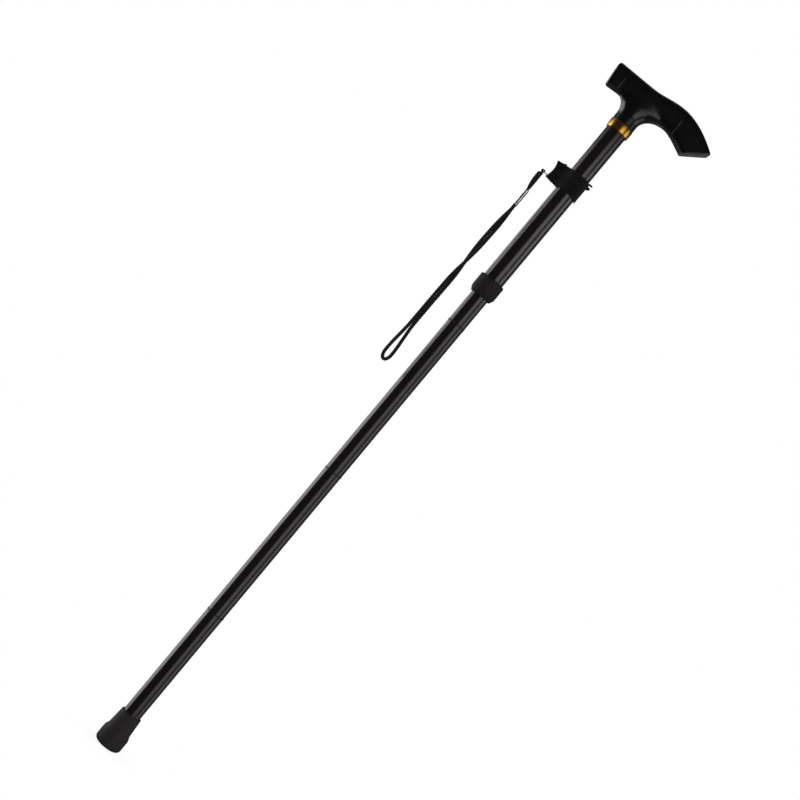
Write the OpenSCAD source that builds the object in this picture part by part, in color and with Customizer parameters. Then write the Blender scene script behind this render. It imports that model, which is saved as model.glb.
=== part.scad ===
// Folding walking cane: derby handle, sliding height adjuster, three folds on an inner elastic cord.
// Millimetres. +Z up the shaft, +X towards the tail of the handle, origin at the centre of the sole.

/* [Shaft tubes] */
// Outer diameter of the four narrow tubes
tube_od = 19.05; // [17:0.05:21]
// Wall of the narrow tubes
tube_wall = 1; // [0.8:0.1:1.4]
// Wall of the wide upper tube
upper_wall = 1.5; // [1:0.1:2]
// Radial clearance of the adjuster tube in the upper tube
slide_clear = 0.08; // [0.05:0.01:0.1]
// Floor to the lowest fold
foot_len = 166.5; // [150:0.5:190]
// Lowest fold to the middle fold
third_len = 179.5; // [160:0.5:200]
// Middle fold to the top fold
second_len = 187.5; // [165:0.5:200]
// Top fold to the lower edge of the lock collar
adjuster_show = 36.3; // [32:0.1:60]
// Lower edge of the lock collar to the lower edge of the neck ring
upper_show = 208; // [200:0.5:230]
// Clearance round pieces that are pressed in
fit_gap = 0.05; // [0.02:0.01:0.08]

/* [Folds] */
// Room left beside a folded section
fold_room = 1.9; // [1:0.1:4]
// Wall of the plastic socket liner
sleeve_wall = 0.95; // [0.8:0.05:1.4]
// Length of the liner inside the tube
sleeve_len = 26; // [18:0.5:32]
// Thickness of the liner's flange, the dark line at a fold
flange_t = 1.2; // [0.8:0.1:2]
// How far the flange stands proud of the tube
flange_lip = 0.35; // [0.2:0.05:0.8]
// Height of the plug's nose above the fold
nose_h = 11; // [8:0.5:11.5]
// Clearance of the plug's nose in its socket
nose_clear = 0.1; // [0.08:0.01:0.2]
// Length of the plug inside the lower tube
shank_len = 24; // [15:0.5:32]
// Gap between the flange and the tube below it
seat_gap = 0.1; // [0.05:0.01:0.2]
// Diameter of the elastic cord
elastic_d = 4; // [3:0.1:4.5]
// Clearance round the elastic cord
elastic_clear = 0.25; // [0.2:0.05:0.5]

/* [Height adjuster] */
// Distance between two height holes
hole_pitch = 16; // [12:0.5:16]
// Number of height holes
hole_count = 7; // [4:1:7]
// Top of the lock collar to the lowest height hole
hole_above_collar = 8; // [6:0.5:8.5]
// Diameter of the snap button
button_d = 6.8; // [5:0.1:7]
// Clearance round the snap button
button_clear = 0.1; // [0.05:0.01:0.15]
// How far the snap button stands out of the upper tube
button_out = 2.2; // [1.5:0.1:2.6]
// Diameter of the button's head inside the tube
button_head_d = 9.2; // [8.4:0.1:10]
// Thickness of the button's head
button_head_t = 1.1; // [0.8:0.1:1.5]
// Thickness of the leaf spring
leaf_t = 0.7; // [0.5:0.1:0.9]
// Width of the leaf spring
leaf_w = 6.5; // [5:0.1:7]
// Length of the leaf spring above the button
leaf_len = 16; // [12:0.5:20]
// Adjuster tube above the snap button
adjuster_over = 28; // [26:0.5:34]

/* [Lock collar] */
// Wall of the lock collar
collar_wall = 1.4; // [1:0.1:2.5]
// Height of the lock collar
collar_h = 20.5; // [17:0.5:21]
// Height of the collar's lower bevel
collar_bevel = 4.5; // [3:0.1:5.5]
// Bevel on the collar's top edge
collar_top_bevel = 0.9; // [0.5:0.1:1.2]
// Thickness of the collar's floor
collar_lip = 3.2; // [3:0.1:3.8]
// Wall of the threaded bush inside the collar
bush_wall = 0.95; // [0.8:0.05:1.1]
// Clearance between bush and collar
bush_clear = 0.08; // [0.05:0.01:0.1]
// Height of the bush under the end of the upper tube
bush_foot = 7; // [5:0.5:8]

/* [Handle] */
// Shaft axis to the nose
handle_front = 40; // [36:0.5:50]
// Shaft axis to the tip of the tail
handle_back = 84; // [80:0.5:92]
// How far the bar's side stands out over the neck
bar_side = 0.7; // [0.5:0.1:2]
// Height of the bar over the shaft
bar_h = 22.9; // [22:0.1:28]
// Rise of the crown over the bar
crown_rise = 4.2; // [2:0.1:6]
// Shaft axis to the top of the crown
crown_x = 36; // [30:0.5:40]
// Fall of the top line from the crown to the tip of the tail
tail_fall = 18.5; // [14:0.1:20]
// Bend of that fall, 1 for a straight line
tail_bend = 1.8; // [1.6:0.1:2.2]
// Shaft axis to where the underside starts to droop
belly_x = 34.5; // [28:0.5:36]
// Slope of the drooping underside
belly_slope = 0.48; // [0.4:0.01:0.55]
// Roundness of the turn into that slope
belly_turn = 10; // [6:0.5:14]
// Drop of the underside towards the nose
nose_drop = 2.4; // [0:0.1:3]
// Rounding of the nose
nose_round = 3; // [2:0.1:4]
// How far the foot of the nose lies behind its top
nose_lean = 1.6; // [0:0.1:3]
// Squareness of the bar's section
squareness = 4; // [2.5:0.1:5]
// Squareness of the section at the tip of the tail
tail_squareness = 8; // [4:0.5:10]
// Squareness of the section's lower half behind the neck
waist_squareness = 2; // [1.8:0.1:4]
// Distance of that roundest place behind the shaft
waist_x = 14; // [8:0.5:20]
// Reach of the rounder underside to the front and the back of it
waist_reach = 34; // [20:0.5:40]
// Angle of the slanted tail face
tail_angle = 36; // [30:0.2:45]
// Shaft axis to the lower edge of the tail face
tail_x = 61.2; // [58:0.1:63]
// Height of the neck from the ring to the bar
neck_h = 22.6; // [20:0.1:26]
// Wall of the neck round the upper tube
neck_wall = 1.15; // [1:0.05:2]
// Height over which the neck flares out
flare_h = 16.8; // [12:0.1:19]
// Reach of the flare towards the nose
flare_front = 16; // [12:0.5:20]
// Reach of the flare towards the tail
flare_back = 22; // [14:0.5:24]
// How far the flare's side lies inside the widest part of the bar
flare_inset = 0.2; // [0.1:0.05:0.6]
// Squareness of the flare under the bar
flare_squareness = 2.3; // [2:0.1:4]
// Depth of the socket for the upper tube
handle_socket = 28; // [24:0.5:32]
// Diameter of the cross pin
pin_d = 3; // [2:0.1:4]
// Height of the cross pin over the ring
pin_up = 5; // [4:0.1:6]
// Wall of the neck ring
ring_wall = 1.65; // [1.5:0.05:2.5]
// Height of the neck ring
ring_h = 9.8; // [8:0.1:12]
// Rounding of the neck ring's edges
ring_edge = 1.4; // [0.8:0.1:1.5]

/* [Holder strap] */
// Width of the strap
strap_w = 22; // [20:0.5:24]
// Thickness of one ply
strap_t = 1.2; // [1:0.1:1.6]
// Upper edge of the strap to the neck ring
strap_drop = 55.6; // [50:0.1:58]
// Length of the flap out from the band
flap_len = 14; // [10:0.1:16]
// Hollow of the flap's end
flap_hollow = 2.1; // [1:0.1:3]
// How much narrower the flap's end is at each edge
flap_taper = 1.2; // [0.5:0.1:2]
// Length of the two ply ends
ply_end_len = 3.8; // [2:0.1:4.5]
// Thickness of the two ply ends
ply_end_t = 1.8; // [1:0.1:2.2]
// Depth of the two ply ends
ply_end_w = 5; // [3:0.5:6]
// Step between the two ply ends
ply_end_step = 3.9; // [3:0.1:5]
// Ply end's bite into the band
ply_end_root = 0.6; // [0.4:0.1:0.9]
// How far the upper ply end stands over the band
ply_end_rise = 1.2; // [0:0.1:1.2]

/* [Wrist loop] */
// Diameter of the tether thread
thread_d = 0.8; // [0.6:0.1:1]
// Diameter of the thread's holes
thread_hole_d = 2.4; // [2.2:0.1:2.6]
// Flap's edge to the middle of the thread's hole
thread_edge = 2.2; // [2:0.1:3]
// Flap's end to the eye of the knot
eye_reach = 4.6; // [4.4:0.1:6.5]
// Diameter of the knot
knot_d = 5.4; // [5:0.1:6]
// Depth of the knot
knot_w = 2.8; // [2.4:0.1:3]
// Height of the knot's base under its eye
knot_base = 3; // [2.8:0.1:3.5]
// Diameter of one strand of the neck cord
neck_cord_d = 2.9; // [2.4:0.1:3.1]
// Length of the neck cord
neck_cord_len = 21.5; // [18:0.5:26]
// Length of the crimp sleeve
crimp_len = 18.5; // [15:0.5:22]
// Width of the crimp sleeve
crimp_w = 4.7; // [4.5:0.1:5.5]
// Depth of the crimp sleeve
crimp_depth = 8.2; // [8:0.1:9]
// Diameter of the wrist cord
wrist_cord_d = 3.7; // [3:0.1:3.8]

/* [Ferrule] */
// Wall of the ferrule's base round the tube
ferrule_base_wall = 5; // [4.5:0.1:7]
// Height of the ferrule's base
ferrule_base_h = 16; // [13:0.5:18]
// Rounding of the base's lower edge
ferrule_round = 4.5; // [3:0.1:5]
// Height of the shoulder above the base
ferrule_shoulder = 4; // [3:0.5:5]
// Wall over the shoulder
ferrule_neck_wall = 3.1; // [2.5:0.1:4]
// Wall of the upper rim
ferrule_rim_wall = 1.6; // [1:0.1:2.4]
// Height of the whole ferrule
ferrule_h = 39.5; // [36:0.5:44]
// Rubber under the washer
sole_t = 6.5; // [5:0.5:9]
// Thickness of the washer
washer_t = 1.5; // [1:0.1:2]
// Depth of the tread grooves
tread_depth = 1.2; // [0.8:0.1:2]
// Width of the tread grooves
tread_w = 1.4; // [1:0.1:1.8]
// Distance between two tread grooves
tread_pitch = 3; // [2.5:0.1:3.4]

/* [Hidden] */
$fn = 96;
tube_r = tube_od / 2;
tube_ir = tube_r - tube_wall;
upper_ir = tube_r + slide_clear;
upper_r = upper_ir + upper_wall;
bush_r = upper_r + fit_gap + bush_wall;
collar_ir = bush_r + bush_clear;
collar_r = collar_ir + collar_wall;
ring_ir = upper_r + fit_gap;
ring_r = ring_ir + ring_wall;
neck_r = upper_r + fit_gap + neck_wall;
bar_w = 2 * (neck_r + bar_side);
elastic_r = elastic_d / 2;
ferrule_ir = tube_r + fit_gap;
ferrule_base_r = ferrule_ir + ferrule_base_wall;

// Heights of the joints and of the pieces on the shaft
fold_z = [foot_len + third_len + second_len, foot_len + third_len, foot_len];
collar_z = fold_z[0] + adjuster_show;
collar_top = collar_z + collar_h;
upper_z = collar_z + bush_foot;
ring_z = collar_z + upper_show;
neck_z = ring_z + ring_h;
upper_top = neck_z + handle_socket;
strap_top = ring_z - strap_drop;
strap_z = strap_top - strap_w;
hole_z = collar_top + hole_above_collar;
button_z = hole_z + (hole_count - 1) * hole_pitch;
adjuster_top = button_z + adjuster_over;

// Shaft axis to the axis of each fold, from the top fold to the lowest: a folded tube clears the collar,
// the ferrule clears the collar, and the ferrule clears the tube that it lies beside
fold_offset = [
    (collar_r + tube_r + fold_room) / 2,
    (collar_r + ferrule_base_r + fold_room) / 2,
    (tube_r + ferrule_base_r + fold_room) / 2
];

// Plug and socket
sleeve_r = tube_ir - fit_gap;
socket_r = sleeve_r - sleeve_wall;
cord_hole_r = elastic_r + elastic_clear;
cord_joint_gap = 0.3;
bush_floor_gap = 0.3;

// Plugs that the elastic cord is knotted behind
anchor_h = 6;
anchor_below_button = 32;
anchor_top_z = button_z - anchor_below_button;
anchor_foot_z = ferrule_h + 20;
knot_bulk_r = 3.6;
knot_bulk_h = 5;

// Snap button and its spring, across the inside of the adjuster tube
button_r = button_d / 2;
button_hole_r = button_r + button_clear;
button_tip_y = upper_r + button_out;
head_room = 0.1;
button_head_y = sqrt(pow(tube_ir, 2) - pow(button_head_d / 2, 2)) - head_room;
leaf_front_y = button_head_y - button_head_t;
leaf_back_y = -sqrt(pow(tube_ir, 2) - pow(leaf_w / 2, 2)) + head_room;
leaf_bend_r = (leaf_front_y - leaf_back_y) / 2;

// Handle, measured up from the neck ring
neck_top = neck_h + bar_h;
flare_z = neck_h - flare_h;
flare_y = bar_w / 2 - flare_inset;
ring_steps = 32;
bar_steps = 24;
flare_steps = 6;
bar_overrun = 12;

// Strap flap and the thread through its lower corner
band_r = upper_r + fit_gap + strap_t;
flap_reach = band_r + flap_len;
flap_y = strap_t + fit_gap;
thread_z = strap_z + flap_taper + thread_edge;
eye_x = -flap_reach - eye_reach;
thread_turn = flap_y + thread_d;
neck_cord_top = thread_z - knot_base;
crimp_top = neck_cord_top - neck_cord_len;
crimp_z = crimp_top - crimp_len;

// Wrist cord, from the crimp to the bottom of the loop, measured from the middle of the crimp's lower face:
// lean of the pair, half the gap between the strands along X and along Y, and height
wrist_route = [
    [0, 0, 1.9, 0], [0, 0, 1.9, -5], [-0.2, 0.95, 1.65, -14], [-0.5, 1.65, 0.95, -23], [-0.8, 1.9, 0, -32],
    [-1.2, 1.9, 0, -47], [-1.4, 1.65, -0.95, -56], [-1.6, 0.95, -1.65, -65], [-1.8, 0, -1.9, -75],
    [-2, -0.95, -1.65, -83], [-2.2, -1.65, -0.95, -91], [-2.4, -1.9, 0, -100], [-2.8, -1.9, 0, -124],
    [-3, -1.9, 0, -150], [-3, -2.2, -1.2, -160], [-2.9, -3.1, -3.8, -171], [-2.8, -3.9, -5.9, -181],
    [-2.7, -4.1, -6.3, -189.5], [-2.7, -3.6, -5.5, -193.3], [-2.7, -2.1, -3.2, -196.3], [-2.7, 0, 0, -197.3]
];

// Neck cord, two strands that turn a quarter about each other: lean of the pair, half the gap between them
// along X and along Y, and share of the way down
neck_route = [
    [-1, 1.7, 0, 0], [-1, 1.7, 0, 0.2], [-0.8, 1.5, 0.8, 0.5], [-0.4, 0.9, 1.4, 0.75], [0, 0, 1.6, 0.95],
    [0, 0, 1.6, 1]
];

// Smooth step from 0 to 1
function ease(t) = (1 - cos(180 * t)) / 2;

// Rounded power that gives a superellipse of squareness n its corners
function swell(v, n) = sign(v) * pow(abs(v), 2 / n);

// Round wall between two heights
module sleeve(r_in, r_out, z0, z1) {
    rotate_extrude()
        translate([r_in, z0])
            square([r_out - r_in, z1 - z0]);
}

// Round rod between two heights
module rod(r, z0, z1) {
    translate([0, 0, z0])
        cylinder(r = r, h = z1 - z0);
}

// Skin through rings of equal length, closed at both ends
module loft(rings) {
    count = len(rings[0]);
    last = len(rings) - 1;
    sides = [
        for (k = [0 : last - 1], i = [0 : count - 1])
            let (j = (i + 1) % count, a = k * count, b = a + count)
                each [[a + i, b + i, b + j], [a + i, b + j, a + j]]
    ];
    first_cap = [for (i = [1 : count - 2]) [0, i, i + 1]];
    last_cap = [for (i = [1 : count - 2]) [last * count, last * count + i + 1, last * count + i]];
    polyhedron(points = [for (r = rings) each r], faces = concat(sides, first_cap, last_cap));
}

// Unit vector
function unit(v) = v / norm(v);

// A level direction that no stretch of a cord's route follows, square to the wrist loop's bottom bend
route_side = [0.85, -0.53, 0];

// Ring of a tube's section at point i of a route, square to the route there
function route_ring(route, i, r, sides) =
    let (
        before = route[max(i - 1, 0)],
        after = route[min(i + 1, len(route) - 1)],
        along = unit(after - before),
        side = unit(cross(along, route_side)),
        up = cross(along, side)
    )
    [for (k = [0 : sides - 1]) route[i] + r * (cos(360 * k / sides) * side + sin(360 * k / sides) * up)];

// Tube of a cord along a route
cord_sides = 8;
module cord_tube(route, d) {
    loft([for (i = [0 : len(route) - 1]) route_ring(route, i, d / 2, cord_sides)]);
}

// Top line of the bar
function bar_top(x) =
    x < 0 ? neck_top :
    x < crown_x ? neck_top + crown_rise * ease(x / crown_x) :
    neck_top + crown_rise - tail_fall * pow((x - crown_x) / (handle_back - crown_x), tail_bend);

// Underside of the bar
function bar_low(x) =
    x < 0 ? neck_h + nose_drop * x / handle_front :
    x < belly_x ? neck_h :
    neck_h - belly_slope * (sqrt(pow(x - belly_x, 2) + pow(belly_turn, 2)) - belly_turn);

// Squareness of the bar's section at x, which grows towards the tail
function bar_squareness(x) =
    squareness + (tail_squareness - squareness) * max(x - crown_x, 0) / (handle_back - crown_x);

// Squareness of the lower half of the section at x, which is rounder about the neck
function low_squareness(x) =
    let (near = pow(max(1 - pow((x - waist_x) / waist_reach, 2), 0), 2))
        bar_squareness(x) + (waist_squareness - bar_squareness(x)) * near;

// Section of the bar at x, drawn in by an inset
function bar_ring(x, inset) =
    let (
        low = bar_low(x) + inset,
        high = bar_top(x) - inset,
        mid = (low + high) / 2,
        half_w = bar_w / 2 - inset,
        half_h = (high - low) / 2,
        lean = nose_lean / 2 * max(-x, 0) / handle_front
    )
    [
        for (i = [0 : ring_steps - 1])
            let (
                a = 360 * i / ring_steps,
                square = sin(a) > 0 ? bar_squareness(x) : low_squareness(x),
                rise = swell(sin(a), square)
            )
                [x - lean * rise, half_w * swell(cos(a), square), mid + half_h * rise]
    ];

// Bar of the handle, with a rounded nose and a tail that runs past its end face
module bar() {
    nose_rings = [
        for (a = [0 : 30 : 60])
            bar_ring(-handle_front + nose_round * (1 - cos(a)), nose_round * (1 - sin(a)))
    ];
    start = -handle_front + nose_round;
    run = handle_back + bar_overrun - start;
    bar_rings = [for (k = [0 : bar_steps]) bar_ring(start + run * k / bar_steps, 0)];
    loft(concat(nose_rings, bar_rings));
}

// Moves a shape to the slanted tail face, whose outward side is -Z there
module at_tail_face() {
    translate([tail_x, 0, bar_low(tail_x)])
        rotate([0, -tail_angle, 0])
            children();
}

// Everything on the outward side of the tail face
tail_span = 2 * (handle_front + handle_back);
module past_tail_face() {
    at_tail_face()
        translate([-tail_span / 2, -tail_span / 2, -tail_span])
            cube(tail_span);
}

// Level oval of the neck at height z, grown by a share of the flare
function neck_oval(share, z) =
    let (
        front = neck_r + flare_front * share,
        back = neck_r + flare_back * share,
        half_y = neck_r + (flare_y - neck_r) * share,
        square = 2 + (flare_squareness - 2) * share
    )
    [
        for (i = [0 : ring_steps - 1])
            let (a = 360 * i / ring_steps)
                [(cos(a) < 0 ? front : back) * swell(cos(a), square), half_y * swell(sin(a), square), z]
    ];

// Neck that is round at the ring and flares out along the bar, to a long oval under it
module neck() {
    flare = [
        for (k = [0 : flare_steps])
            let (a = 90 * k / flare_steps)
                neck_oval(1 - cos(a), flare_z + flare_h * sin(a))
    ];
    loft(concat([neck_oval(0, 0)], flare, [neck_oval(1, neck_h + bar_h / 2)]));
}

module pin_shape(clear) {
    length = 2 * neck_r - 1;
    translate([-length / 2, 0, neck_z + pin_up])
        rotate([0, 90, 0])
            cylinder(d = pin_d + 2 * clear, h = length);
}

module handle_body() {
    color([0.06, 0.06, 0.065])
        difference() {
            translate([0, 0, neck_z])
                difference() {
                    union() {
                        bar();
                        neck();
                    }
                    past_tail_face();
                }
            rod(upper_r + fit_gap, neck_z - 1, upper_top);
            pin_shape(fit_gap);
        }
}

module handle_pin() {
    color([0.6, 0.6, 0.62])
        pin_shape(0);
}

module neck_ring() {
    color([0.83, 0.6, 0.22])
        rotate_extrude()
            translate([ring_ir, ring_z])
                difference() {
                    square([ring_wall, ring_h]);
                    for (end = [0, 1])
                        translate([ring_wall, end * ring_h])
                            rotate(45)
                                square(ring_edge, center = true);
                }
}

module upper_tube() {
    color([0.07, 0.065, 0.07])
        difference() {
            sleeve(upper_ir, upper_r, upper_z, upper_top);
            for (k = [0 : hole_count - 1])
                translate([0, 0, hole_z + k * hole_pitch])
                    rotate([-90, 0, 0])
                        cylinder(r = button_hole_r, h = upper_r + 1);
            pin_shape(fit_gap);
        }
}

module collet_bush() {
    color([0.1, 0.1, 0.1]) {
        sleeve(upper_r + fit_gap, bush_r, upper_z, collar_top - collar_top_bevel);
        sleeve(upper_ir, bush_r, collar_z + collar_lip + bush_floor_gap, upper_z);
    }
}

module locking_collar() {
    lip_r = upper_ir + bush_clear;
    outline = [
        [lip_r, 0], [upper_r, 0], [collar_r, collar_bevel], [collar_r, collar_h - collar_top_bevel],
        [collar_r - collar_top_bevel, collar_h], [collar_ir, collar_h],
        [collar_ir, collar_lip], [lip_r, collar_lip]
    ];
    color([0.05, 0.05, 0.052])
        translate([0, 0, collar_z])
            rotate_extrude()
                polygon(outline);
}

module strap_band() {
    color([0.035, 0.035, 0.037])
        sleeve(upper_r + fit_gap, band_r, strap_z, strap_top);
}

module strap_flap() {
    hollow_r = (pow(strap_w / 2 - flap_taper, 2) + pow(flap_hollow, 2)) / (2 * flap_hollow);
    root = band_r - strap_t / 2;
    outline = [
        [-root, 0], [-flap_reach, flap_taper], [-flap_reach, strap_w - flap_taper], [-root, strap_w]
    ];
    color([0.035, 0.035, 0.037])
        difference() {
            translate([0, flap_y, strap_z])
                rotate([90, 0, 0])
                    linear_extrude(2 * flap_y)
                        difference() {
                            polygon(outline);
                            translate([-flap_reach + flap_hollow - hollow_r, strap_w / 2])
                                circle(r = hollow_r);
                        }
            rod(band_r + fit_gap, strap_z - 1, strap_top + 1);
            translate([-flap_reach + thread_edge, -strap_w / 2, thread_z])
                rotate([-90, 0, 0])
                    cylinder(d = thread_hole_d, h = strap_w);
        }
}

module strap_ends() {
    ply_top = strap_top + ply_end_rise;
    color([0.04, 0.04, 0.042])
        difference() {
            for (k = [0, 1])
                translate([band_r - ply_end_root, -ply_end_w / 2, ply_top - ply_end_t - k * ply_end_step])
                    cube([ply_end_len + ply_end_root, ply_end_w, ply_end_t]);
            rod(band_r + fit_gap, strap_z, ply_top + 1);
        }
}

// Oval of thread through the flap's hole and the eye of the knot
module tether_thread() {
    near_x = -flap_reach + thread_edge - thread_turn;
    far_x = eye_x + thread_turn;
    color([0.75, 0.74, 0.7])
        translate([0, 0, thread_z]) {
            for (end = [0, 1])
                translate([end == 0 ? near_x : far_x, 0, 0])
                    rotate(end == 0 ? -90 : 90)
                        rotate_extrude(angle = 180)
                            translate([thread_turn, 0])
                                circle(d = thread_d);
            for (side = [-1, 1])
                translate([far_x, side * thread_turn, 0])
                    rotate([0, 90, 0])
                        cylinder(d = thread_d, h = near_x - far_x);
        }
}

module adjuster_tube() {
    color([0.07, 0.065, 0.07])
        difference() {
            sleeve(tube_ir, tube_r, fold_z[0] + flange_t, adjuster_top);
            translate([0, 0, button_z])
                rotate([-90, 0, 0])
                    cylinder(r = button_hole_r, h = tube_r + 1);
        }
}

// Leaf spring: a leg behind the button, a bend above it and a leg against the far wall
module snap_spring() {
    leg = leaf_len + button_head_d / 2;
    mid_y = (leaf_front_y + leaf_back_y) / 2;
    color([0.66, 0.67, 0.68])
        translate([leaf_w / 2, mid_y, button_z + leaf_len - leaf_bend_r])
            rotate([0, -90, 0])
                linear_extrude(leaf_w) {
                    intersection() {
                        difference() {
                            circle(r = leaf_bend_r);
                            circle(r = leaf_bend_r - leaf_t);
                        }
                        translate([0, -leaf_bend_r])
                            square([leaf_bend_r, 2 * leaf_bend_r]);
                    }
                    for (y = [-leaf_bend_r, leaf_bend_r - leaf_t])
                        translate([leaf_bend_r - leg, y])
                            square([leg - leaf_bend_r, leaf_t]);
                }
}

module snap_button() {
    color([0.72, 0.73, 0.74])
        translate([0, leaf_front_y, button_z])
            rotate([-90, 0, 0])
                rotate_extrude() {
                    square([button_head_d / 2, button_head_t]);
                    intersection() {
                        square([button_r, button_tip_y - leaf_front_y]);
                        translate([0, button_tip_y - leaf_front_y - 2 * button_r])
                            circle(r = 2 * button_r);
                    }
                }
}

// Plug in a tube that the elastic cord is knotted behind
module cord_anchor(z) {
    color([0.2, 0.2, 0.2])
        sleeve(cord_hole_r, sleeve_r, z, z + anchor_h);
}

// Stretch of the elastic cord
module elastic_cord(z0, z1) {
    color([0.82, 0.8, 0.74])
        rod(elastic_r, z0, z1);
}

// Knot at an end of the elastic cord
module cord_end(z) {
    color([0.82, 0.8, 0.74])
        rod(knot_bulk_r, z, z + knot_bulk_h);
}

// Liner of the socket above fold n, with the flange that shows
module socket_sleeve(n) {
    z = fold_z[n - 1];
    color([0.03, 0.03, 0.03])
        union() {
            sleeve(socket_r, tube_r + flange_lip, z, z + flange_t);
            sleeve(socket_r, sleeve_r, z, z + flange_t + sleeve_len);
        }
}

// Plug below fold n: its nose is rounded about the axis of the fold, so that it swings out of the socket
module joint_plug(n) {
    offset = fold_offset[n - 1];
    color([0.62, 0.63, 0.65])
        translate([0, 0, fold_z[n - 1]])
            rotate_extrude()
                difference() {
                    union() {
                        translate([0, -shank_len])
                            square([sleeve_r, shank_len - seat_gap]);
                        intersection() {
                            translate([0, -1])
                                square([socket_r, nose_h + 1]);
                            translate([-offset, 0])
                                circle(r = offset + socket_r - nose_clear);
                        }
                    }
                    translate([0, -shank_len - 1])
                        square([cord_hole_r, shank_len + nose_h + 2]);
                }
}

// Narrow tube that hangs under fold n and ends at height z0
module fold_tube(n, z0) {
    color([0.07, 0.065, 0.07])
        sleeve(tube_ir, tube_r, z0, fold_z[n - 1] - seat_gap);
}

// Heights between which the elastic cord runs on each section
function cord_top(n) = fold_z[n - 1] + nose_h;
function cord_low(n) = cord_top(n) + cord_joint_gap;

module elastic_cord_1() {
    elastic_cord(cord_low(1), anchor_top_z + anchor_h);
    cord_end(anchor_top_z + anchor_h);
}

module elastic_cord_4() {
    elastic_cord(anchor_foot_z, cord_top(3));
    cord_end(anchor_foot_z - knot_bulk_h);
}

module ferrule_washer() {
    color([0.6, 0.6, 0.62])
        rod(tube_r - fit_gap, sole_t, sole_t + washer_t);
}

module ferrule() {
    flat_r = ferrule_base_r - ferrule_round;
    bend_z = ferrule_base_h + ferrule_shoulder;
    outline = [
        [0, 0], [flat_r, 0], [flat_r, ferrule_round], [ferrule_base_r, ferrule_round],
        [ferrule_base_r, ferrule_base_h], [ferrule_ir + ferrule_neck_wall, bend_z],
        [ferrule_ir + ferrule_rim_wall, ferrule_h], [0, ferrule_h]
    ];
    grooves = [flat_r - 2 * tread_w, flat_r - 2 * tread_w - tread_pitch];
    color([0.045, 0.045, 0.047])
        rotate_extrude()
            difference() {
                union() {
                    polygon(outline);
                    intersection() {
                        translate([flat_r, ferrule_round])
                            circle(r = ferrule_round);
                        square([ferrule_base_r, ferrule_round]);
                    }
                }
                translate([0, sole_t])
                    square([ferrule_ir, ferrule_h]);
                for (r = grooves)
                    translate([r, 0])
                        square([tread_w, tread_depth]);
            }
}

// Knot with an eye for the thread and a flat base over the neck cord
module lanyard_knot() {
    color([0.03, 0.03, 0.03])
        translate([eye_x, 0, thread_z])
            difference() {
                union() {
                    rotate([90, 0, 0])
                        cylinder(d = knot_d, h = knot_w, center = true);
                    translate([-knot_d / 2, -knot_w / 2, -knot_base])
                        cube([knot_d, knot_w, knot_base / 2]);
                }
                rotate([90, 0, 0])
                    cylinder(d = thread_hole_d, h = 2 * knot_w, center = true);
            }
}

module lanyard_neck_cord() {
    color([0.03, 0.03, 0.03])
        for (side = [-1, 1])
            cord_tube(
                [
                    for (p = neck_route)
                        [eye_x + p[0] + side * p[1], side * p[2], neck_cord_top - p[3] * neck_cord_len]
                ],
                neck_cord_d
            );
}

module lanyard_crimp() {
    spread = (crimp_depth - crimp_w) / 2;
    color([0.85, 0.85, 0.86])
        translate([eye_x, 0, crimp_z])
            linear_extrude(crimp_len) {
                for (side = [-1, 1])
                    translate([0, side * spread])
                        circle(d = crimp_w);
                square([crimp_w, 2 * spread], center = true);
            }
}

// Doubled cord of the wrist loop: down one strand, round the bottom and up the other
function wrist_strand(side) = [
    for (p = wrist_route) [eye_x + p[0] + side * p[1], side * p[2], crimp_z + p[3]]
];
function wrist_way() =
    let (down = wrist_strand(1), up = wrist_strand(-1), last = len(wrist_route) - 1)
    concat(down, [for (i = [1 : last]) up[last - i]]);

module wrist_cord() {
    color([0.04, 0.04, 0.042])
        cord_tube(wrist_way(), wrist_cord_d);
}

handle_body();
handle_pin();
neck_ring();
upper_tube();
collet_bush();
strap_band();
strap_flap();
strap_ends();
tether_thread();
locking_collar();
adjuster_tube();
snap_spring();
cord_anchor(anchor_top_z);  // cord_anchor_top
elastic_cord_1();
socket_sleeve(1);  // socket_sleeve_1
snap_button();
joint_plug(1);  // joint_plug_1
fold_tube(1, fold_z[1] + flange_t);  // second_tube
elastic_cord(cord_low(2), cord_top(1));  // elastic_cord_2
socket_sleeve(2);  // socket_sleeve_2
joint_plug(2);  // joint_plug_2
fold_tube(2, fold_z[2] + flange_t);  // third_tube
elastic_cord(cord_low(3), cord_top(2));  // elastic_cord_3
socket_sleeve(3);  // socket_sleeve_3
joint_plug(3);  // joint_plug_3
fold_tube(3, sole_t + washer_t);  // foot_tube
elastic_cord_4();
cord_anchor(anchor_foot_z);  // cord_anchor_bottom
ferrule_washer();
ferrule();
lanyard_knot();
lanyard_neck_cord();
lanyard_crimp();
wrist_cord();
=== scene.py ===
import math

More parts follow.
